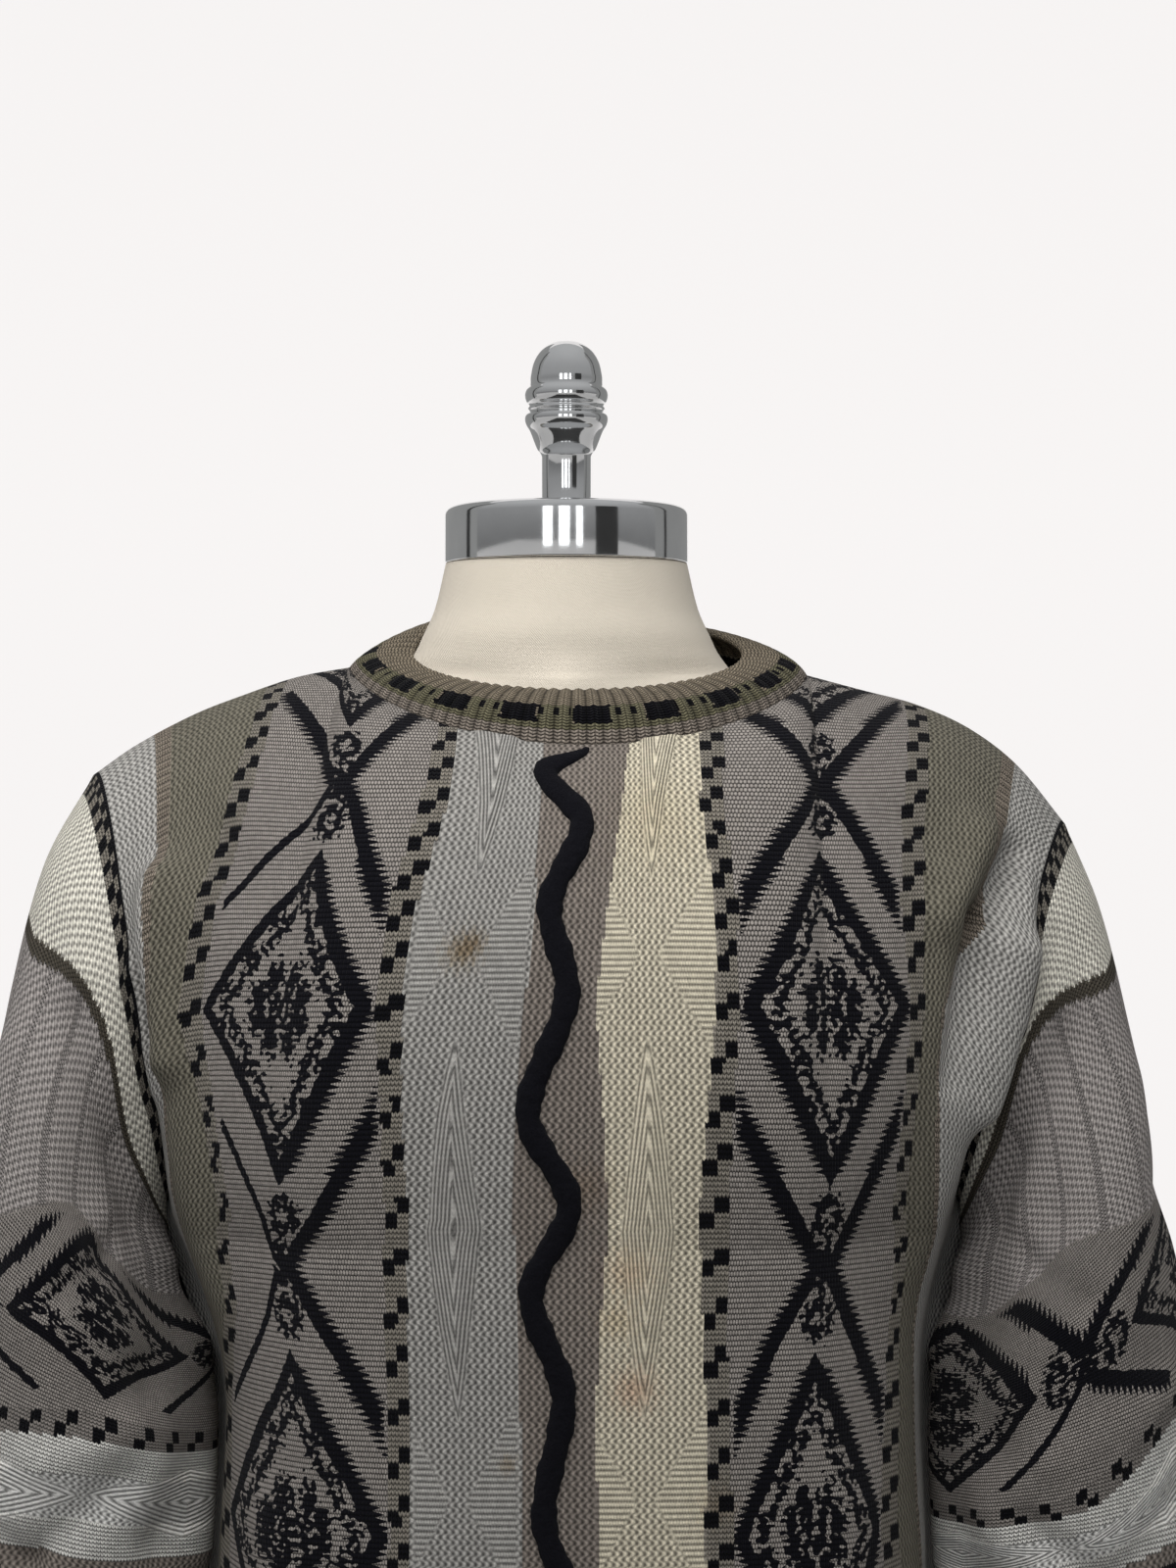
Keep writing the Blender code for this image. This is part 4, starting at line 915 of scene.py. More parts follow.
def cord_rings(cloth):
    """The wavy cord's points, laid on the front."""
    tree = BVHTree.FromObject(cloth, bpy.context.evaluated_depsgraph_get())
    feet = []
    for height, across in zip(*cord_path()):
        start = Vector((across, CORD_RAY_FROM, height))
        hit, normal, _, _ = tree.ray_cast(start, Vector((0.0, 1.0, 0.0)))
        feet.append((*hit, *(-normal if normal.y > 0 else normal)))
    feet = np.array(feet)
    middle = feet[:, :3]
    padded = np.pad(feet[:, 3:], ((CORD_SMOOTHED, CORD_SMOOTHED), (0, 0)), mode="edge")
    count = 2 * CORD_SMOOTHED + 1
    kernel = np.ones(count) / count
    normals = unit(np.stack([np.convolve(column, kernel, "valid") for column in padded.T], axis=1))
    beside = unit(np.cross(np.gradient(middle, axis=0), normals))
    turns = even_turns(CORD_SIDES)
    lifted = np.where(np.sin(turns) > 0, np.abs(np.sin(turns)) ** CORD_ROUNDNESS, CORD_SUNK)
    places = np.arange(len(middle)) / CORD_STEPS
    uneven = 1.0 + sum(share * np.sin(places * pace + start) for share, pace, start in CORD_UNEVEN)
    top_pace, foot_pace, least = CORD_TAPER
    ends = np.minimum(1.0, np.minimum(places * top_pace, (1.0 - places) * foot_pace) + least)
    sideways = (CORD_WIDTH * uneven * ends)[:, None] * (0.5 * np.cos(turns))
    upward = CORD_HEIGHT * ends[:, None] * lifted
    return middle[:, None] + beside[:, None] * sideways[..., None] + normals[:, None] * upward[..., None]


def grid_mesh(name, points):
    """A smooth mesh of rings of points, with each end closed by one face."""
    rows, columns = points.shape[:2]
    here = np.arange(rows * columns).reshape(rows, columns)
    over = np.roll(here, -1, axis=1)
    faces = np.stack((here[:-1], over[:-1], over[1:], here[1:]), axis=-1).reshape(-1, 4).tolist()
    faces += [here[0][::-1].tolist(), here[-1].tolist()]
    mesh = bpy.data.meshes.new(name)
    mesh.from_pydata(points.reshape(-1, 3).tolist(), [], faces)
    mesh.shade_smooth()
    mesh.set_sharp_from_angle(angle=math.radians(SHARP_DEGREES))
    return mesh


def form_points():
    """The torso and neck of the form, a smooth loft through its rings."""
    keys = np.arange(len(FORM_RINGS))
    fine = np.arange(keys[-1] * FORM_ROWS_BETWEEN + 1) / FORM_ROWS_BETWEEN
    quarter = np.linspace(0.0, 1.0, FORM_SEGMENTS // 4 + 1)
    rings = []
    for height in np.interp(fine, keys, [row[0] for row in FORM_RINGS]):
        half_width, ahead, behind, squareness = along(FORM_RINGS, height)
        front_x, front_y = squared_arc(half_width, ahead, squareness, quarter)
        back_x, back_y = squared_arc(half_width, behind, squareness, quarter)
        across = np.concatenate((front_x[:-1], back_x[:0:-1], -back_x[:-1], -front_x[:0:-1]))
        deep = np.concatenate((-front_y[:-1], back_y[:0:-1], back_y[:-1], -front_y[:0:-1]))
        rings.append(np.stack((across, deep, np.full(len(across), height)), axis=1))
    return np.array(rings)


def turned_mesh(name, profile, foot):
    """A piece turned about the vertical axis from a profile that runs from its top to its foot."""
    keys = np.array(profile)
    slopes = np.zeros(keys.shape)
    slopes[1:-1] = unit(keys[2:] - keys[:-2])
    smooth = []
    for index, (key, following) in enumerate(zip(keys[:-1], keys[1:])):
        run = np.linalg.norm(following - key)
        steps = PROFILE_STEPS if run < LONGEST_CURVED else 1
        for step in range(steps):
            smooth.append(hermite(key, slopes[index] * run, following, slopes[index + 1] * run, step / steps))
    radius, height = np.array(smooth[1:])[::-1].T[..., None]
    turns = even_turns(TURNED_STEPS)
    points = np.stack((radius * np.cos(turns), radius * np.sin(turns), foot + height + 0 * turns), axis=-1)
    return grid_mesh(name, points)


def strip_place(across, up, hangs):
    """A stitch's place across the strips as they were knitted, before they drifted in wear."""
    if not hangs:
        return across
    table = np.array(STRIP_HANG)[::-1] / 1000.0
    edges = between(up[:, 0], table[:, 0], table[:, 1:])
    return np.array([np.interp(row, measured, STRIP_EDGES) for row, measured in zip(across, edges)])


def motif_place(count):
    """From a count of motifs: distances up from a diamond's middle and a cross's, and the cross's count."""
    nearest = 2 * np.round(count / 2)
    diamond = (2 * np.floor(count / 2) + 1 - count) * MOTIF_STEP
    return diamond, (nearest - count) * MOTIF_STEP, nearest


def oval_depth(across, up, middle_across, middle_up, half_width, half_height):
    """How far inside an oval a place is, and less than nothing outside it."""
    reach = np.hypot((across - middle_across) / half_width, (up - middle_up) / half_height)
    return (1.0 - reach) * min(half_width, half_height)


def diamond_strip(across, place, both_thick):
    """A strip of diamonds and crosses: depth inside the black, reach of its teeth, and mottling."""
    diamond, cross, count = place
    side, level = np.abs(across), np.abs(diamond)
    size = side / DIAMOND_HALF_WIDTH + level / DIAMOND_HALF_HEIGHT
    thick = (across > 0) | both_thick
    edge = (1.0 - size) * DIAMOND_HALF_WIDTH
    outer = np.where(thick, THICK_LINE, THICK_LINE * LEFT_LINE_SHARE)
    line = outer / 2 - np.abs(edge - outer / 2)
    blob = (BLOB_SHARE - np.abs((level / BLOB_PITCH) % 1.0 - 0.5)) * BLOB_PITCH
    band = np.minimum(BLOB_BAND / 2 + BLOB_OVERLAP - np.abs(edge - outer - BLOB_BAND / 2), blob)
    within = edge - outer - BLOB_BAND
    inner = INNER_LINE / 2 - np.abs(within - INNER_LINE / 2)
    flower = np.max([oval_depth(side, level, *petal) for petal in PETALS], axis=0)
    away = side - np.abs(cross) * CROSS_SLOPE - CROSS_OPENING
    bar_thick = thick | ((cross > 0) & (count == 0))
    bar = np.where(bar_thick, THICK_LINE, THIN_LINE) / 2 - np.abs(away)
    clear = (size - CROSS_CLEAR_OF_DIAMOND) * DIAMOND_HALF_WIDTH
    bar = np.min([bar, clear, CROSS_HALF_WIDTH - side], axis=0)
    small = oval_depth(across, cross, 0.0, 0.0, *CROSS_CLUSTER)
    for middle_up, *halves in CROSS_FLOWERS:
        whole = oval_depth(across, cross, 0.0, middle_up, *halves)
        heart = oval_depth(across, cross, 0.0, middle_up, *[half * FLOWER_HEART for half in halves])
        small = np.maximum(small, np.minimum(whole, -heart))
    lines = np.maximum(line, bar)
    curls = np.max([band, inner, flower, small], axis=0)
    toothed = (edge < outer / 2) & thick & (level < TEETH_UP_TO)
    toothed |= (away > 0) & bar_thick & (side > CROSS_TEETH_FROM) & (clear > 0)
    within_teeth = (within > INNER_LINE / 2) & (side > INNER_TEETH_FROM)
    teeth = np.where(toothed, TOOTH, np.where(within_teeth, TOOTH * INNER_TOOTH_SHARE, 0.0))
    mottled = np.where(curls > lines, CURL_MOTTLE, LINE_MOTTLE)
    return np.stack((np.maximum(lines, curls), teeth, mottled), axis=-1)


def panel_figures(place, up):
    """The black figures of a body panel's two strips of diamonds, at each point."""
    figures = np.zeros((*place.shape, 3))
    figures[..., 0] = NO_BLACK
    motifs = motif_place(np.interp(up, *np.array(MOTIF_LEVELS).T))
    for axis in (-DIAMOND_AXIS, DIAMOND_AXIS):
        inside = np.abs(place - axis) < DIAMOND_STRIP_HALF
        figures[inside] = diamond_strip(place - axis, motifs, axis > 0)[inside]
    return figures


def sleeve_down(along_sleeve, round_sleeve, hang):
    """How far down its bands a place on a sleeve is."""
    keys, inner, outer = np.array(hang).T
    turned = ease((np.abs(round_sleeve) - HANG_TURN_FROM) / HANG_TURN_OVER)
    inner, outer = np.interp(along_sleeve, keys, inner), np.interp(along_sleeve, keys, outer)
    return along_sleeve + inner * turned + outer * (1.0 - turned)


def sleeve_figures(down, round_sleeve, motif_start):
    """The black figures of a sleeve's band, and the leaf lines of its pale bands, at each point."""
    motifs = motif_place((round_sleeve - motif_start) / SLEEVE_MOTIF_STEP)
    top, middle, foot = SLEEVE_FIGURES
    figures = diamond_strip(middle - down, motifs, False)
    figures[..., 0] = np.min([figures[..., 0], down - top, foot - down], axis=0)
    figures[..., 1] *= -1.0
    turn = (round_sleeve / SLEEVE_LEAF_STEP) % 1.0 - 0.5
    half_width = SLEEVE_LEAF_HALF_WIDTH * (1.0 - np.abs(turn) * 2.0) ** LEAF_BLUNTNESS
    inside = half_width - np.abs(down - SLEEVE_LEAF_LEVEL)
    return figures, np.stack((inside / LEAF_PITCH, ease(inside / LEAF_SOFT_EDGE), 0.0 * down), axis=-1)


def leaf_ridges(place, up):
    """The leaf strips' relief: a leaf's phase and weight, the purl rows' weight, the broad rise."""
    phase, leafy, rows, rise = np.zeros((4, *place.shape))
    nearest = np.min([np.abs(up - level) for level in LEAF_LEVELS], axis=0)
    reach = np.clip(1.0 - nearest / LEAF_HALF_LENGTH, 0.0, 1.0)
    from_gap = (LEAF_LEVELS[0] - LEAF_LEVELS[1]) / 2 - nearest
    for axis, low, high in LEAF_STRIPS:
        across = np.abs(place - axis)
        inside = LEAF_HALF_WIDTH * reach**LEAF_BLUNTNESS - across
        near = across < LEAF_STRIP_REACH
        on_strip = ease((LEAF_STRIP_HALF - np.abs(place - (low + high) / 2)) / LEAF_STRIP_SOFT_EDGE)
        phase[near] = (inside / LEAF_PITCH)[near]
        leafy = np.maximum(leafy, on_strip * ease(inside / LEAF_SOFT_EDGE))
        purled = ease((PURL_SLOPE * (across - PURL_FROM_AXIS) - np.abs(from_gap)) / PURL_SOFT_EDGE)
        rows = np.maximum(rows, on_strip * purled)
        rise = np.maximum(rise, CABLE_HEIGHT * ease(2.0 * (reach - across / CABLE_HALF_WIDTH)) * on_strip)
    return phase, leafy, rows * (1.0 - leafy), rise


def stained(colours, across, up):
    """The front's stitch colours with its old stains."""
    share, pace_across, pace_up = STAIN_RAGGED
    ragged = 1.0 + share * np.sin(across * pace_across) * np.sin(up * pace_up)
    for middle_across, middle_up, reach, strength, tint in STAINS:
        away = np.hypot(across - middle_across, up - middle_up) / reach
        share = (strength * np.exp(-((away * ragged) ** 2)))[..., None]
        colours = colours * (1.0 - share * (1.0 - np.array(tint)))
    return colours


class Chart:
    """The yarn of each stitch, and whether it is knit, moss or purl."""

    def __init__(self, shape, yarn, purl=0.0):
        self.yarn = np.full(shape, YARN[yarn])
        self.purl = np.full(shape, purl)

    def knit(self, chosen, yarn, purl=0.0):
        self.yarn[chosen] = YARN[yarn]
        self.purl[chosen] = purl


def front_chart(front, across, up, course):
    """The yarn and the purl stitches of a body panel."""
    place = strip_place(across, up, front)
    away = np.abs(place)
    chart = Chart(across.shape, "taupe", 1.0)
    chart.knit(away > OLIVE_EDGE, "olive", MOSS)
    ladder = away > LADDER_EDGE
    chart.knit(ladder, "ladder", (course % 2)[ladder])
    chart.knit(away > SIDE_EDGE, "light grey", MOSS)
    count = np.interp(up, *np.array(CHECK_LEVELS).T)
    pitch = -np.gradient(up[:, 0]) / np.gradient(count[:, 0])
    from_pair = (np.round(count) - count) * pitch[:, None]
    for middle in CHECK_MIDDLES:
        check = np.abs(place - middle) <= CHECK_HALF_WIDTH
        chart.knit(check, "marl")
        for shift_across, shift_up in SQUARE_SHIFTS:
            square = np.abs(place - middle - shift_across) < SQUARE_HALF_WIDTH
            chart.knit(check & square & (np.abs(from_pair - shift_up) < SQUARE_HALF_HEIGHT), "black")
    for low, high, yarn in MIDDLE_STRIPS:
        chart.knit((place > low) & (place <= high), yarn, MOSS)
    chart.knit(np.abs(across) > CHAIN_EDGE, "black")
    return chart


def sleeve_chart(along_sleeve, down, round_sleeve):
    """The yarn and the purl stitches of a sleeve, from the seam down and from the shoulder's line round."""
    chart = Chart(down.shape, "taupe")
    for low, high, yarn, purl in SLEEVE_BANDS:
        chart.knit((down >= low) & (down < high), yarn, purl)
        if yarn == "honeycomb":
            smooth = (np.abs(round_sleeve) % HONEYCOMB_STEP) < HONEYCOMB_GAP
            chart.knit((down >= low) & (down < high) & smooth, yarn)
    strip = along_sleeve < SEAM_STRIP
    chart.knit(strip, "marl")
    columns = np.floor(round_sleeve / SEAM_SQUARE[0]) + np.floor(along_sleeve / SEAM_SQUARE[1])
    chart.knit(strip & (columns % 2 == 0), "black")
    for row, shift in DASH_ROWS:
        dash = (round_sleeve + shift) % DASH_STEP < DASH_WIDTH
        chart.knit(dash & (np.abs(down - row) < DASH_HALF_HEIGHT), "black")
    middle, swing, step, half_width = SLEEVE_WAVE
    wave = middle + swing * np.sin(2 * math.pi * round_sleeve / step)
    chart.knit(np.abs(down - wave) < half_width, "black")
    return chart


def rib_chart(rows, columns, banded):
    """The yarn and the painted shade in the grooves of a rib, from its own foot over the rim to its inside; a
    neckband has its dashes.
    """
    chart = Chart((rows, columns), "collar")
    column = np.arange(columns)
    if banded:
        height = (np.arange(rows)[:, None] + 0.5) / BAND_ROWS
        low, dashed_from, dashed_to = BAND_BORDERS
        turn = np.abs(((column - BAND_DASH_MIDDLE) / BAND_DASH_PITCH + 0.5) % 1.0 - 0.5)[None]
        dashed = (height > dashed_from) & (height < dashed_to)
        chart.knit(height[:, 0] < low, "collar low")
        chart.knit(((height > low) & (height < dashed_from))[:, 0], "collar green")
        chart.knit(dashed & (turn > 0.25), "collar green")
        share, pace_round, pace_up = BAND_DASH_RAGGED
        swing = share * np.sin(column * pace_round + np.arange(rows)[:, None] * pace_up)
        ragged = swing * (np.abs(height - BAND_DASH_STRAIGHT[0]) > BAND_DASH_STRAIGHT[1])
        chart.knit(dashed & (turn < BAND_DASH_HALF + ragged), "black")
        in_rib = column % RIB_POINTS
        dots_from, dots_to, clear = BAND_DOTS
        dotted = (height > dots_from) & (height < dots_to) & (turn > clear)
        chart.knit(dotted & (in_rib >= 3) & (in_rib <= 5), "black")
    groove = 0.5 - 0.5 * np.cos(2 * math.pi * (column + 0.5) / RIB_POINTS)
    # The second array is painted shade, darkest in the middle of each rib's groove
    return chart, np.repeat((GROOVE_PAINTED_SHADE * groove**1.5)[None], rows, axis=0)


class Output:
    """A node's output, which takes part in sums like a number."""

    def __init__(self, nodes, socket):
        self.nodes = nodes
        self.socket = socket

    def __add__(self, other):
        return self.nodes.math("ADD", self, other)

    def __sub__(self, other):
        return self.nodes.math("SUBTRACT", self, other)

    def __rsub__(self, other):
        return self.nodes.math("SUBTRACT", other, self)

    def __mul__(self, other):
        return self.nodes.math("MULTIPLY", self, other)

    def __pow__(self, other):
        return self.nodes.math("POWER", self, other)

    def __mod__(self, other):
        return self.nodes.math("MODULO", self, other)

    def __lt__(self, other):
        return self.nodes.math("LESS_THAN", self, other)

    def __gt__(self, other):
        return self.nodes.math("GREATER_THAN", self, other)

    def __abs__(self):
        return self.nodes.math("ABSOLUTE", self)

    __radd__ = __add__
    __rmul__ = __mul__


class Nodes:
    """Short calls for building the nodes of a material or a world."""

    def __init__(self, owner, shader="Principled BSDF"):
        owner.use_nodes = True
        self.owner = owner
        self.tree = owner.node_tree
        self.shader = self.tree.nodes[shader]

    def add(self, kind, inputs=(), **settings):
        node = self.tree.nodes.new("ShaderNode" + kind)
        for key, value in settings.items():
            setattr(node, key, value)
        for name, value in dict(inputs).items():
            self.put(value, node.inputs[name])
        return node

    def put(self, value, socket):
        if isinstance(value, Output):
            self.tree.links.new(value.socket, socket)
        else:
            socket.default_value = value

    def finish(self, **inputs):
        """Set the shader's inputs, with _ for a space in a name."""
        for name, value in inputs.items():
            self.put(value, self.shader.inputs[name.replace("_", " ")])
        return self.owner

    def outputs(self, node):
        return [Output(self, socket) for socket in node.outputs]

    def parts(self, value):
        return self.outputs(self.add("SeparateXYZ", {0: value}))

    def cells(self):
        return self.parts(self.outputs(self.add("UVMap", uv_map="cells"))[0])[:2]

    def vector(self, name):
        return self.parts(self.outputs(self.add("Attribute", attribute_name=name))[1])

    def colour(self, name):
        return self.outputs(self.add("VertexColor", layer_name=name))[0]

    def place(self, kind="Object"):
        return Output(self, self.add("TexCoord").outputs[kind])

    def math(self, operation, *values):
        return self.outputs(self.add("Math", enumerate(values), operation=operation))[0]

    def centred(self, value):
        """From -1 to 1 over each whole step."""
        return self.math("FRACT", value) * 2.0 - 1.0

    def clamped(self, value):
        return self.math("MINIMUM", self.math("MAXIMUM", value, 0.0), 1.0)

    def mix(self, share, first, second):
        inputs = {"Factor": share, 6: first, 7: second}
        return self.outputs(self.add("Mix", inputs, data_type="RGBA"))[2]

    def blend(self, share, first, second):
        inputs = {"Factor": share, 2: first, 3: second}
        return self.outputs(self.add("Mix", inputs, data_type="FLOAT"))[0]

    def shaded(self, colour, tone):
        return self.outputs(self.add("VectorMath", {0: colour, "Scale": tone}, operation="SCALE"))[0]

    def noise(self, place, scale, detail, rough=0.5):
        inputs = {"Vector": place, "Scale": scale, "Detail": detail, "Roughness": rough}
        return self.outputs(self.add("TexNoise", inputs))[0]

    def bump(self, height, distance, strength):
        inputs = {"Height": height, "Distance": distance, "Strength": strength}
        self.finish(Normal=self.outputs(self.add("Bump", inputs))[0])


def new_material(name):
    return Nodes(bpy.data.materials.new(name))


def square(value):
    return value * value


def knit_heights(nodes, wale, course, lean, purl, moss):
    """The height of the yarn, and of a knit stitch alone, on the lattice of stitches."""
    side = abs(nodes.centred(wale))
    leg = 1.0 - square(nodes.centred(course - lean))
    gap = square(square(side)) * 0.8
    centre = square(square(1.0 - side)) * 0.35
    knit = leg * (1.0 - gap - centre)
    beside = square(nodes.centred(nodes.math("FLOOR", course) % 2.0 * 0.5 + wale * PURL_BUMPS))
    swell = square(nodes.centred(course))
    purl_bump = nodes.clamped(1.20 - (beside * 0.85 + swell * 0.80))
    wave = nodes.math("SINE", course * math.pi)
    lattice = nodes.math("SINE", (wave * 0.22 + wale) * math.pi) * wave
    height = nodes.blend(moss, nodes.blend(purl, knit, purl_bump), nodes.clamped(lattice * 0.50 + 0.61))
    phase, leafy, purled = nodes.vector("ridge")[:3]
    strand = (nodes.math("COSINE", phase * (2 * math.pi)) * 0.5 + 0.5) ** 0.7
    row = (nodes.math("COSINE", course * (2 * math.pi * COURSE / PURL_PITCH)) * 0.5 + 0.5) ** 0.7
    height = nodes.blend(leafy, height, strand * 0.78 + (leg * 0.14 + 0.12))
    height = nodes.blend(purled, height, row * 0.60 + (beside * -0.25 + 0.40))
    return height, knit


def knit_blacks(nodes, wale, course):
    """1 inside the black figures, with their teeth and their mottling, and 0 outside."""
    depth, teeth, mottling = nodes.vector("figure")[:3]
    run = nodes.blend(teeth < 0.0, course * COURSE, wale * WALE)
    tooth = nodes.math("SINE", run * (2 * math.pi / TOOTH_PITCH)) * 0.5 + 0.5
    spot = nodes.outputs(nodes.add("CombineXYZ", {0: wale, 1: course * 1.4}))[0]
    curl = nodes.noise(spot, CURL_SCALE, 0.0) - CURL_LOSS
    return abs(teeth) * tooth + depth + mottling * curl > 0.0


def knit_finish(name):
    """Knitting: V stitches and purl bumps on the courses and wales, in each stitch's own yarn; painted shade
    in hollows.
    """
    nodes = new_material(name)
    wale, course = nodes.cells()
    stitch = nodes.outputs(nodes.add("SeparateColor", {0: nodes.colour("stitch")}))
    # The stitch colour holds purl, the painted shade of rib grooves, and moss
    purl, painted_groove_shade, moss = stitch[:3]
    plain = 1.0 - purl
    lean = abs(nodes.centred(wale)) * STITCH_LEAN * plain
    fallen = nodes.math("FRACT", course) - lean < 0.0
    height, knit = knit_heights(nodes, wale, course, lean, purl, moss)
    black = knit_blacks(nodes, wale, course)
    height = nodes.blend(black, height, knit * 0.7 + 0.5)
    place = nodes.place()
    fibre = nodes.noise(place, 1500.0, 2.0, 0.6)
    cell = nodes.add("CombineXYZ", {0: nodes.math("FLOOR", wale), 1: nodes.math("FLOOR", course - lean)})
    cell = nodes.outputs(cell)[0]
    chance = nodes.outputs(nodes.add("TexWhiteNoise", {"Vector": cell}, noise_dimensions="3D"))[0]
    tone = chance * 0.20 + 0.62 + fibre * 0.34 + nodes.noise(place, 9.0, 2.0) * 0.16
    # Painted shade: the colour darkens where the yarn lies low between stitches, and in the rib grooves
    tone = tone * (nodes.clamped(height) * 1.16 + 0.10) * (1.0 - painted_groove_shade)
    yarn = nodes.mix(fallen * plain, nodes.colour("yarn"), nodes.colour("yarn_below"))
    nodes.bump(fibre * 0.45 + height, 0.0009, 1.0)
    return nodes.finish(
        Base_Color=nodes.shaded(nodes.mix(black, yarn, BLACK_YARN), tone),
        Roughness=0.95,
        Specular_IOR_Level=0.05,
        Sheen_Weight=0.04,
        Sheen_Roughness=0.5,
    )


def felt_finish(name):
    """Felted black wool with short fibres."""
    nodes = new_material(name)
    place = nodes.place()
    fibre = nodes.noise(place, 1100.0, 4.0, 0.7)
    nodes.bump(nodes.noise(place, 240.0, 2.0) * 1.5 + fibre, 0.0009, 1.0)
    colour = nodes.mix(fibre, (0.002, 0.002, 0.003, 1.0), (0.012, 0.012, 0.016, 1.0))
    return nodes.finish(Base_Color=colour, Roughness=0.95, Specular_IOR_Level=0.03, Sheen_Weight=0.02)


def twill_finish(name):
    """Fine cotton twill with slubs and specks."""
    nodes = new_material(name)
    across, up = nodes.cells()
    weave = nodes.math("SINE", (across + up * 0.8) * (2 * math.pi / 0.0011)) * 0.5 + 0.5
    weave = nodes.math("SINE", up * (2 * math.pi / 0.0006)) * 0.2 + weave
    place = nodes.place()
    speck = nodes.noise(place, 420.0, 3.0, 0.7)
    tone = nodes.noise(place, 14.0, 2.0) * 0.10 + (weave * 0.08 + 0.86) - (speck > 0.70) * 0.16
    nodes.bump(speck * 0.6 + weave, 0.0002, 0.7)
    colour = nodes.shaded((0.72, 0.655, 0.555), tone)
    return nodes.finish(Base_Color=colour, Roughness=0.88, Specular_IOR_Level=0.2, Sheen_Weight=0.1)


def chrome_finish(name):
    """Polished chrome with faint smears."""
    nodes = new_material(name)
    place = nodes.place()
    smear = nodes.noise(place, 60.0, 4.0, 0.6)
    nodes.bump(nodes.noise(place, 900.0, 2.0), 0.00002, 0.15)
    colour = nodes.mix(smear, (0.70, 0.705, 0.71, 1.0), (0.82, 0.825, 0.83, 1.0))
    return nodes.finish(Base_Color=colour, Roughness=smear * 0.10 + 0.03, Metallic=1.0)


def paper_finish(name, colour):
    """Matt paper for the backdrop and the cards."""
    nodes = new_material(name)
    grain = nodes.noise(nodes.place(), 300.0, 2.0)
    colours = (*colour, 1.0), (*[part * 0.99 for part in colour], 1.0)
    nodes.finish(Base_Color=nodes.mix(grain, *colours), Roughness=0.95, Specular_IOR_Level=0.0)
    return nodes


def knit_piece(
    node, points, finish, chart, painted_groove_shade=None, tops=None, wraps=False, fields=(), grain=(1.0, 1.0)
):
    """One knitted piece: its mesh, its stitches' colours and its place in the frame."""
    mesh, course, wale, counts, found = stitch_mesh(node + "_knit", points, tops, wraps, grain)
    colours, purl = chart
    painted_groove_shade = np.zeros(purl.shape) if painted_groove_shade is None else painted_groove_shade
    under = np.concatenate((colours[:1], colours[:-1])) if grain[1] == 1.0 else colours
    # The stitch colour's second part is painted shade in the rib grooves, and nothing on other pieces
    stitch = np.stack((purl == 1.0, painted_groove_shade, purl == MOSS), axis=-1)
    for name, kind, field, values in (
        ("yarn", "BYTE_COLOR", "color_srgb", colours),
        ("yarn_below", "BYTE_COLOR", "color_srgb", under),
        ("stitch", "FLOAT_COLOR", "color", stitch),
    ):
        paint(mesh, name, kind, field, values[course, wale], counts)
    for name, values in fields:
        layer = mesh.attributes.new(name=name, type="FLOAT_VECTOR", domain="POINT")
        fill(layer.data, "vector", values.reshape(-1, 3)[found])
    return add_piece(node + "_knit", mesh, finish, node)


def yarn_colours(chart):
    return np.array([row[1:] for row in YARNS])[chart.yarn] / 255.0, chart.purl


def add_panel(front, panels, flats, knit):
    panel = panels[front]
    folded, tops = panel.folded, panel.tops
    courses = len(folded) - 1
    course, wale = np.indices((courses, len(flats) - 1))
    across, up = ((flats[:-1] + flats[1:]) / 2)[wale], (course + 0.5) * COURSE
    colours, purl = yarn_colours(front_chart(front, across, up, course))
    corner, corner_wale = np.indices((courses + 1, len(flats)))
    place = strip_place(flats[corner_wale], corner * COURSE, front)
    corner_up = np.minimum(corner, tops) * COURSE
    fields = [("figure", panel_figures(place, corner_up))]
    if front:
        colours = stained(colours, across, up)
        *ridge, rise = leaf_ridges(place, corner_up)
        fields.append(("ridge", np.stack(ridge, axis=-1)))
        folded = folded + panel.normals * rise[..., None]
    else:
        folded, tops, colours, purl = folded[:, ::-1], tops[::-1], colours[:, ::-1], purl[:, ::-1]
        fields = [(name, values[:, ::-1]) for name, values in fields]
    node = "front" if front else "back"
    return knit_piece(node, folded, knit, (colours, purl), tops=tops, fields=fields)


def sleeve_place(rows, offset, mirrored):
    """Distances from the armhole and from the shoulder's line round, on a sleeve's rows and columns."""
    row, column = np.indices((rows, SLEEVE_WALES)) + offset
    turns = column / SLEEVE_WALES
    if mirrored:
        turns = 1.0 - turns
    turns = np.where(turns > 0.5, turns - 1.0, turns)
    return (1.0 - row / SLEEVE_COURSES) * SLEEVE_LENGTH, turns * SLEEVE_ROUND


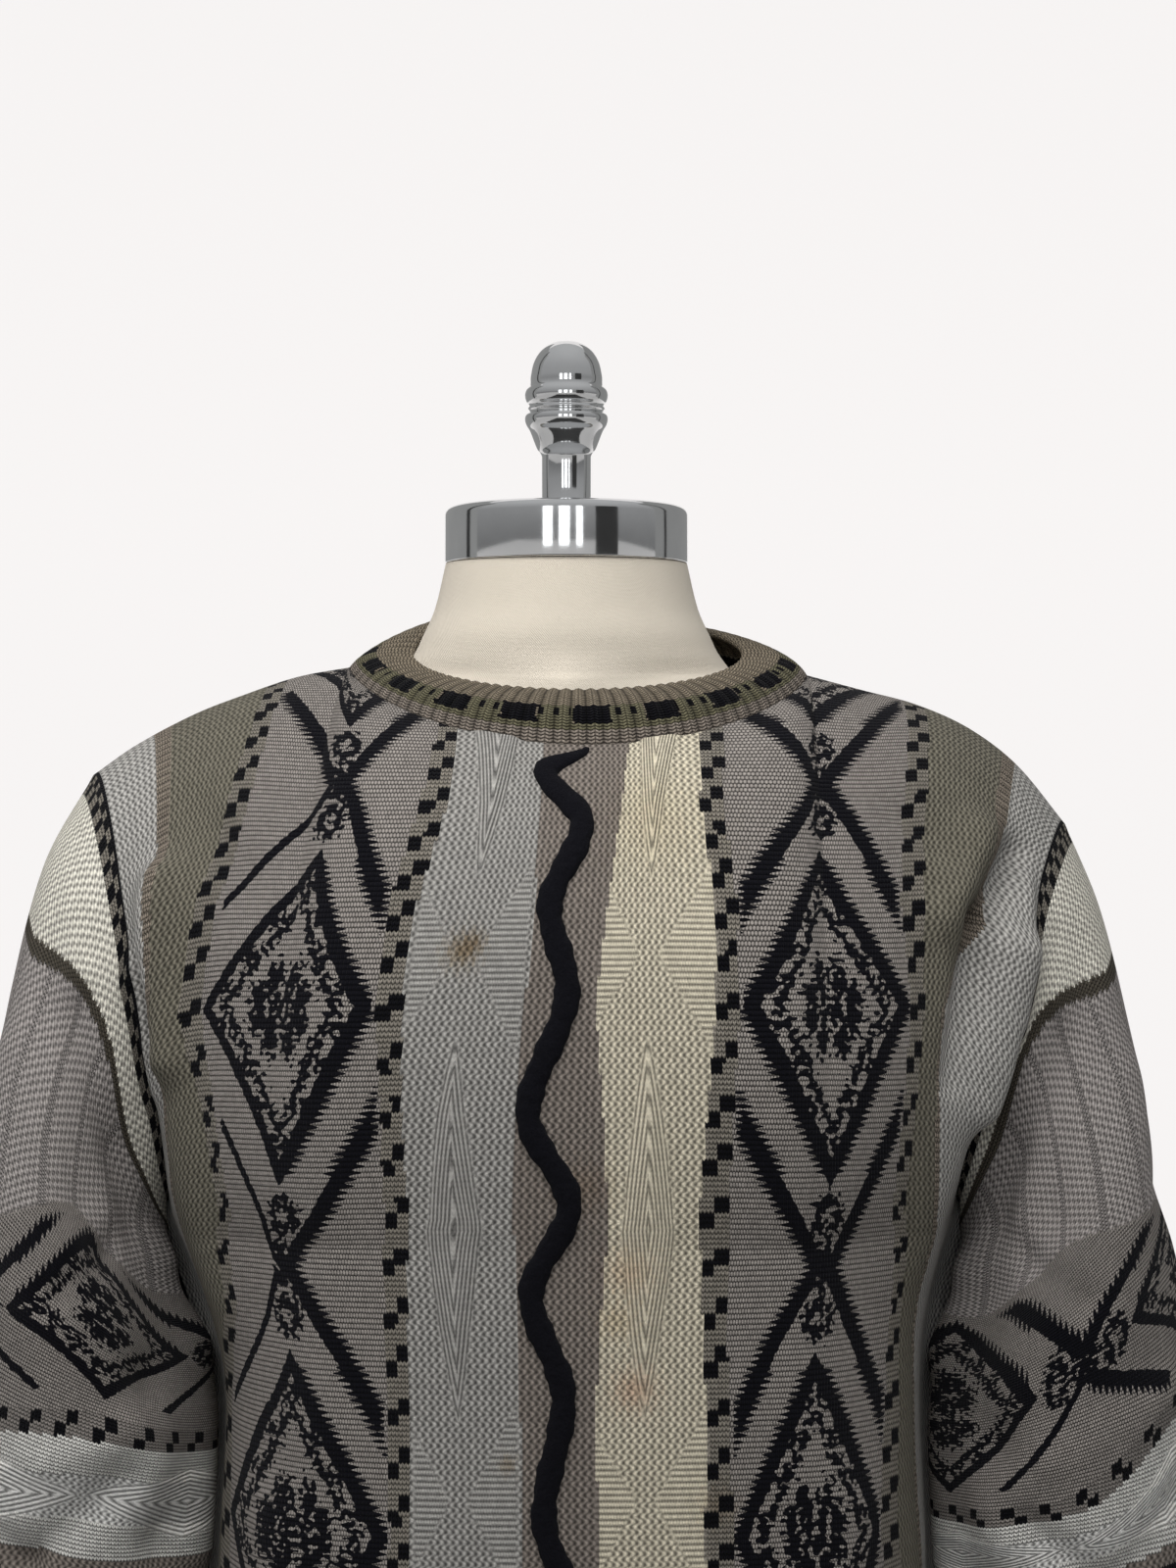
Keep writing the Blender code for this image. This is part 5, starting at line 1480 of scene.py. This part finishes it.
def make_cloth(knit):
    """Every knitted piece, by the name of the solid that it stands for."""
    panels, flats, neck = make_panels()
    pieces = {"front": add_panel(True, panels, flats, knit), "back": add_panel(False, panels, flats, knit)}
    sleeve_ends = []
    for node, stations, side, hang, motif_start in (
        ("sleeve_left", SLEEVE_LEFT, 0, SLEEVE_HANG_LEFT, SLEEVE_MOTIF_LEFT),
        ("sleeve_right", SLEEVE_RIGHT, -1, SLEEVE_HANG_RIGHT, SLEEVE_MOTIF_RIGHT),
    ):
        mirrored = side != 0
        points = sleeve_lattice(stations, *armhole_loops(panels, side), mirrored)
        sleeve_ends.append(points[0])
        from_seam, turned = sleeve_place(len(points) - 1, 0.5, mirrored)
        chart = sleeve_chart(from_seam, sleeve_down(from_seam, turned, hang), turned)
        from_seam, turned = sleeve_place(len(points), 0.0, mirrored)
        down = sleeve_down(from_seam, turned, hang)
        fields = zip(("figure", "ridge"), sleeve_figures(down, turned, motif_start))
        colours = yarn_colours(chart)
        pieces[node] = knit_piece(node, points, knit, colours, wraps=True, fields=fields)

    foot = np.vstack((panels[True].folded[0], panels[False].folded[0][::-1][1:-1]))
    wales = np.nonzero(neck)[0]
    ahead, behind = [panel.folded[last_rows(panel.tops)[wales], wales] for panel in panels.values()]
    cuffs = [rib_lattice(end, CUFF_RIBS, CUFF_HEIGHT, CUFF_SIZES) for end in sleeve_ends]
    plain_rib = (RIB_WALL, False, 0.0, TURNED_IN_ROWS)
    for node, outer, shape in (
        ("hem_rib", rib_lattice(foot, HEM_RIBS, PANEL_FOOT - HEM_FOOT, HEM_SIZES), plain_rib),
        ("cuff_left", cuffs[0], plain_rib),
        ("cuff_right", cuffs[1], plain_rib),
        ("neckband", band_lattice(ahead, behind[::-1]), (BAND_WALL, True, BAND_INNER_RIB, BAND_ROWS + 1)),
    ):
        points = rib_wall(outer, *shape)
        # Each rib gets its yarn and the painted shade in its grooves
        chart, painted_groove_shade = rib_chart(len(points) - 1, points.shape[1], node == "neckband")
        colours, grain = yarn_colours(chart), (2.0 / RIB_POINTS, 1.0)
        pieces[node] = knit_piece(node, points, knit, colours, painted_groove_shade, wraps=True, grain=grain)
    return pieces


def add_plain(name, mesh, finish, node):
    """A piece that isn't knitted, with a map of its surface in metres."""
    places = np.array([vertex.co for vertex in mesh.vertices])
    corners = np.zeros(len(mesh.loops), np.int32)
    mesh.loops.foreach_get("vertex_index", corners)
    x, y, z = places[corners].T
    turns = np.arctan2(x, -y)
    fill(mesh.uv_layers.new(name="cells").data, "uv", np.stack((turns * MAP_RADIUS, z), axis=1))
    return add_piece(name, mesh, finish, node)


def make_form(twill, chrome):
    add_plain("form_cover", grid_mesh("form_cover", form_points()), twill, "form_torso")
    for node, profile, foot in (
        ("neck_cap", CAP_PROFILE, CAP_FOOT),
        ("finial", FINIAL_PROFILE, FINIAL_FOOT),
        ("stand_pole", POLE_PROFILE, POLE_FOOT),
        ("stand_base", BASE_PROFILE, 0.0),
    ):
        name = node + "_chrome"
        add_plain(name, turned_mesh(name, profile, foot), chrome, node)


def add_object(name, data):
    item = bpy.data.objects.new(name, data)
    bpy.context.scene.collection.objects.link(item)
    return item


def add_light(name, place, target, width, height, power, colour):
    data = bpy.data.lights.new(name, "AREA")
    data.shape = "RECTANGLE"
    data.size, data.size_y = width, height
    data.energy = power
    data.color = colour
    item = add_object(name, data)
    item.location = place
    item.rotation_euler = (Vector(target) - Vector(place)).to_track_quat("-Z", "Y").to_euler()
    item.visible_glossy = name != "key"


def add_stage(name, points, faces, paper):
    mesh = bpy.data.meshes.new(name)
    mesh.from_pydata(points, [], faces)
    mesh.materials.append(paper.owner)
    item = add_object(name, mesh)
    return item


def add_card(name, place, width, height, turn, brightness):
    """A matt card, upright with its width along the turned x axis, or flat where it stands low."""
    turn = math.radians(turn)
    flat = name == "card_low"
    reach = Vector((math.cos(turn), math.sin(turn), 0.0)) * (width / 2)
    rise = Vector((0.0, height / 2, 0.0)) if flat else Vector((0.0, 0.0, height / 2))
    middle = Vector(place)
    corners = [middle - reach - rise, middle + reach - rise, middle + reach + rise, middle - reach + rise]
    paper = paper_finish(name + "_paper", (0.05, 0.05, 0.05))
    paper.finish(Emission_Color=(brightness, brightness * 1.01, brightness, 1.0), Emission_Strength=1.0)
    card = add_stage(name, corners, [(0, 1, 2, 3)], paper)
    card.visible_camera = False
    card.visible_shadow = not flat


def make_backdrop():
    """A pale floor that curves up into a backdrop, and glows more the further back it is."""
    turns = np.linspace(0.0, math.pi / 2, BACKDROP_CURVE_STEPS + 1)
    section = [(deep, 0.0) for deep in (-BACKDROP_REACH, *FLOOR_STEPS)]
    for turn in turns:
        deep = BACKDROP_Y - BACKDROP_CURVE * (1 - math.sin(turn))
        section.append((deep, BACKDROP_CURVE * (1 - math.cos(turn))))
    section.append((BACKDROP_Y, BACKDROP_TOP))
    points = []
    for across in np.linspace(-BACKDROP_REACH, BACKDROP_REACH, BACKDROP_COLUMNS + 1):
        points += [(across, deep, up - BELOW_THE_BASE) for deep, up in section]
    count = len(section)
    faces = []
    for column in range(BACKDROP_COLUMNS):
        for here in range(column * count, (column + 1) * count - 1):
            faces.append((here, here + count, here + count + 1, here + 1))
    paper = paper_finish("backdrop_paper", BACKDROP_COLOUR)
    glow = paper.outputs(paper.add("Attribute", attribute_name="glow"))[2]
    paper.finish(
        Base_Color=paper.mix(glow, (*FLOOR_COLOUR, 1.0), (*BACKDROP_COLOUR, 1.0)),
        Emission_Color=(*BACKDROP_GLOW, 1.0),
        Emission_Strength=glow * (1.0 - FLOOR_GLOW) + FLOOR_GLOW,
    )
    mesh = add_stage("backdrop", points, faces, paper).data
    mesh.shade_smooth()
    layer = mesh.attributes.new(name="glow", type="FLOAT", domain="POINT")
    reach = BACKDROP_Y - BACKDROP_CURVE
    fill(layer.data, "value", [ease(deep / reach) for _, deep, _ in points])


def make_studio():
    """Camera, backdrop, cards, soft lights and the air round them."""
    scene = bpy.context.scene
    data = bpy.data.cameras.new("camera")
    data.lens = CAMERA_LENS_MM
    data.sensor_width = CAMERA_SENSOR_MM
    data.clip_start = 0.05
    data.clip_end = 50.0
    scene.camera = add_object("camera", data)
    scene.camera.location = CAMERA_PLACE
    scene.camera.rotation_euler = (math.pi / 2, 0.0, 0.0)
    make_backdrop()
    for row in CARDS:
        add_card(*row)
    for row in LIGHTS:
        add_light(*row)
    scene.world = bpy.data.worlds.new("studio_air")
    air = Nodes(scene.world, "Background")
    ramp = air.add("ValToRGB", {0: air.parts(air.place("Generated"))[2] * 0.5 + 0.5})
    while len(ramp.color_ramp.elements) < len(AIR):
        ramp.color_ramp.elements.new(0.5)
    for element, (at, brightness) in zip(ramp.color_ramp.elements, AIR):
        element.position = at
        element.color = (brightness * 0.98, brightness * 0.99, brightness, 1.0)
    air.finish(Color=air.outputs(ramp)[0])
    scene.view_settings.view_transform = "Standard"
    scene.view_settings.look = "None"


def main():
    knit = knit_finish("patterned_knit")
    felt = felt_finish("felted_wool")
    twill = twill_finish("cotton_twill")
    chrome = chrome_finish("polished_chrome")
    pieces = make_cloth(knit)
    cord = grid_mesh("wavy_cord_felt", cord_rings(pieces["front"]))
    cord = add_plain("wavy_cord_felt", cord, felt, "wavy_cord")
    make_form(twill, chrome)
    make_studio()


main()
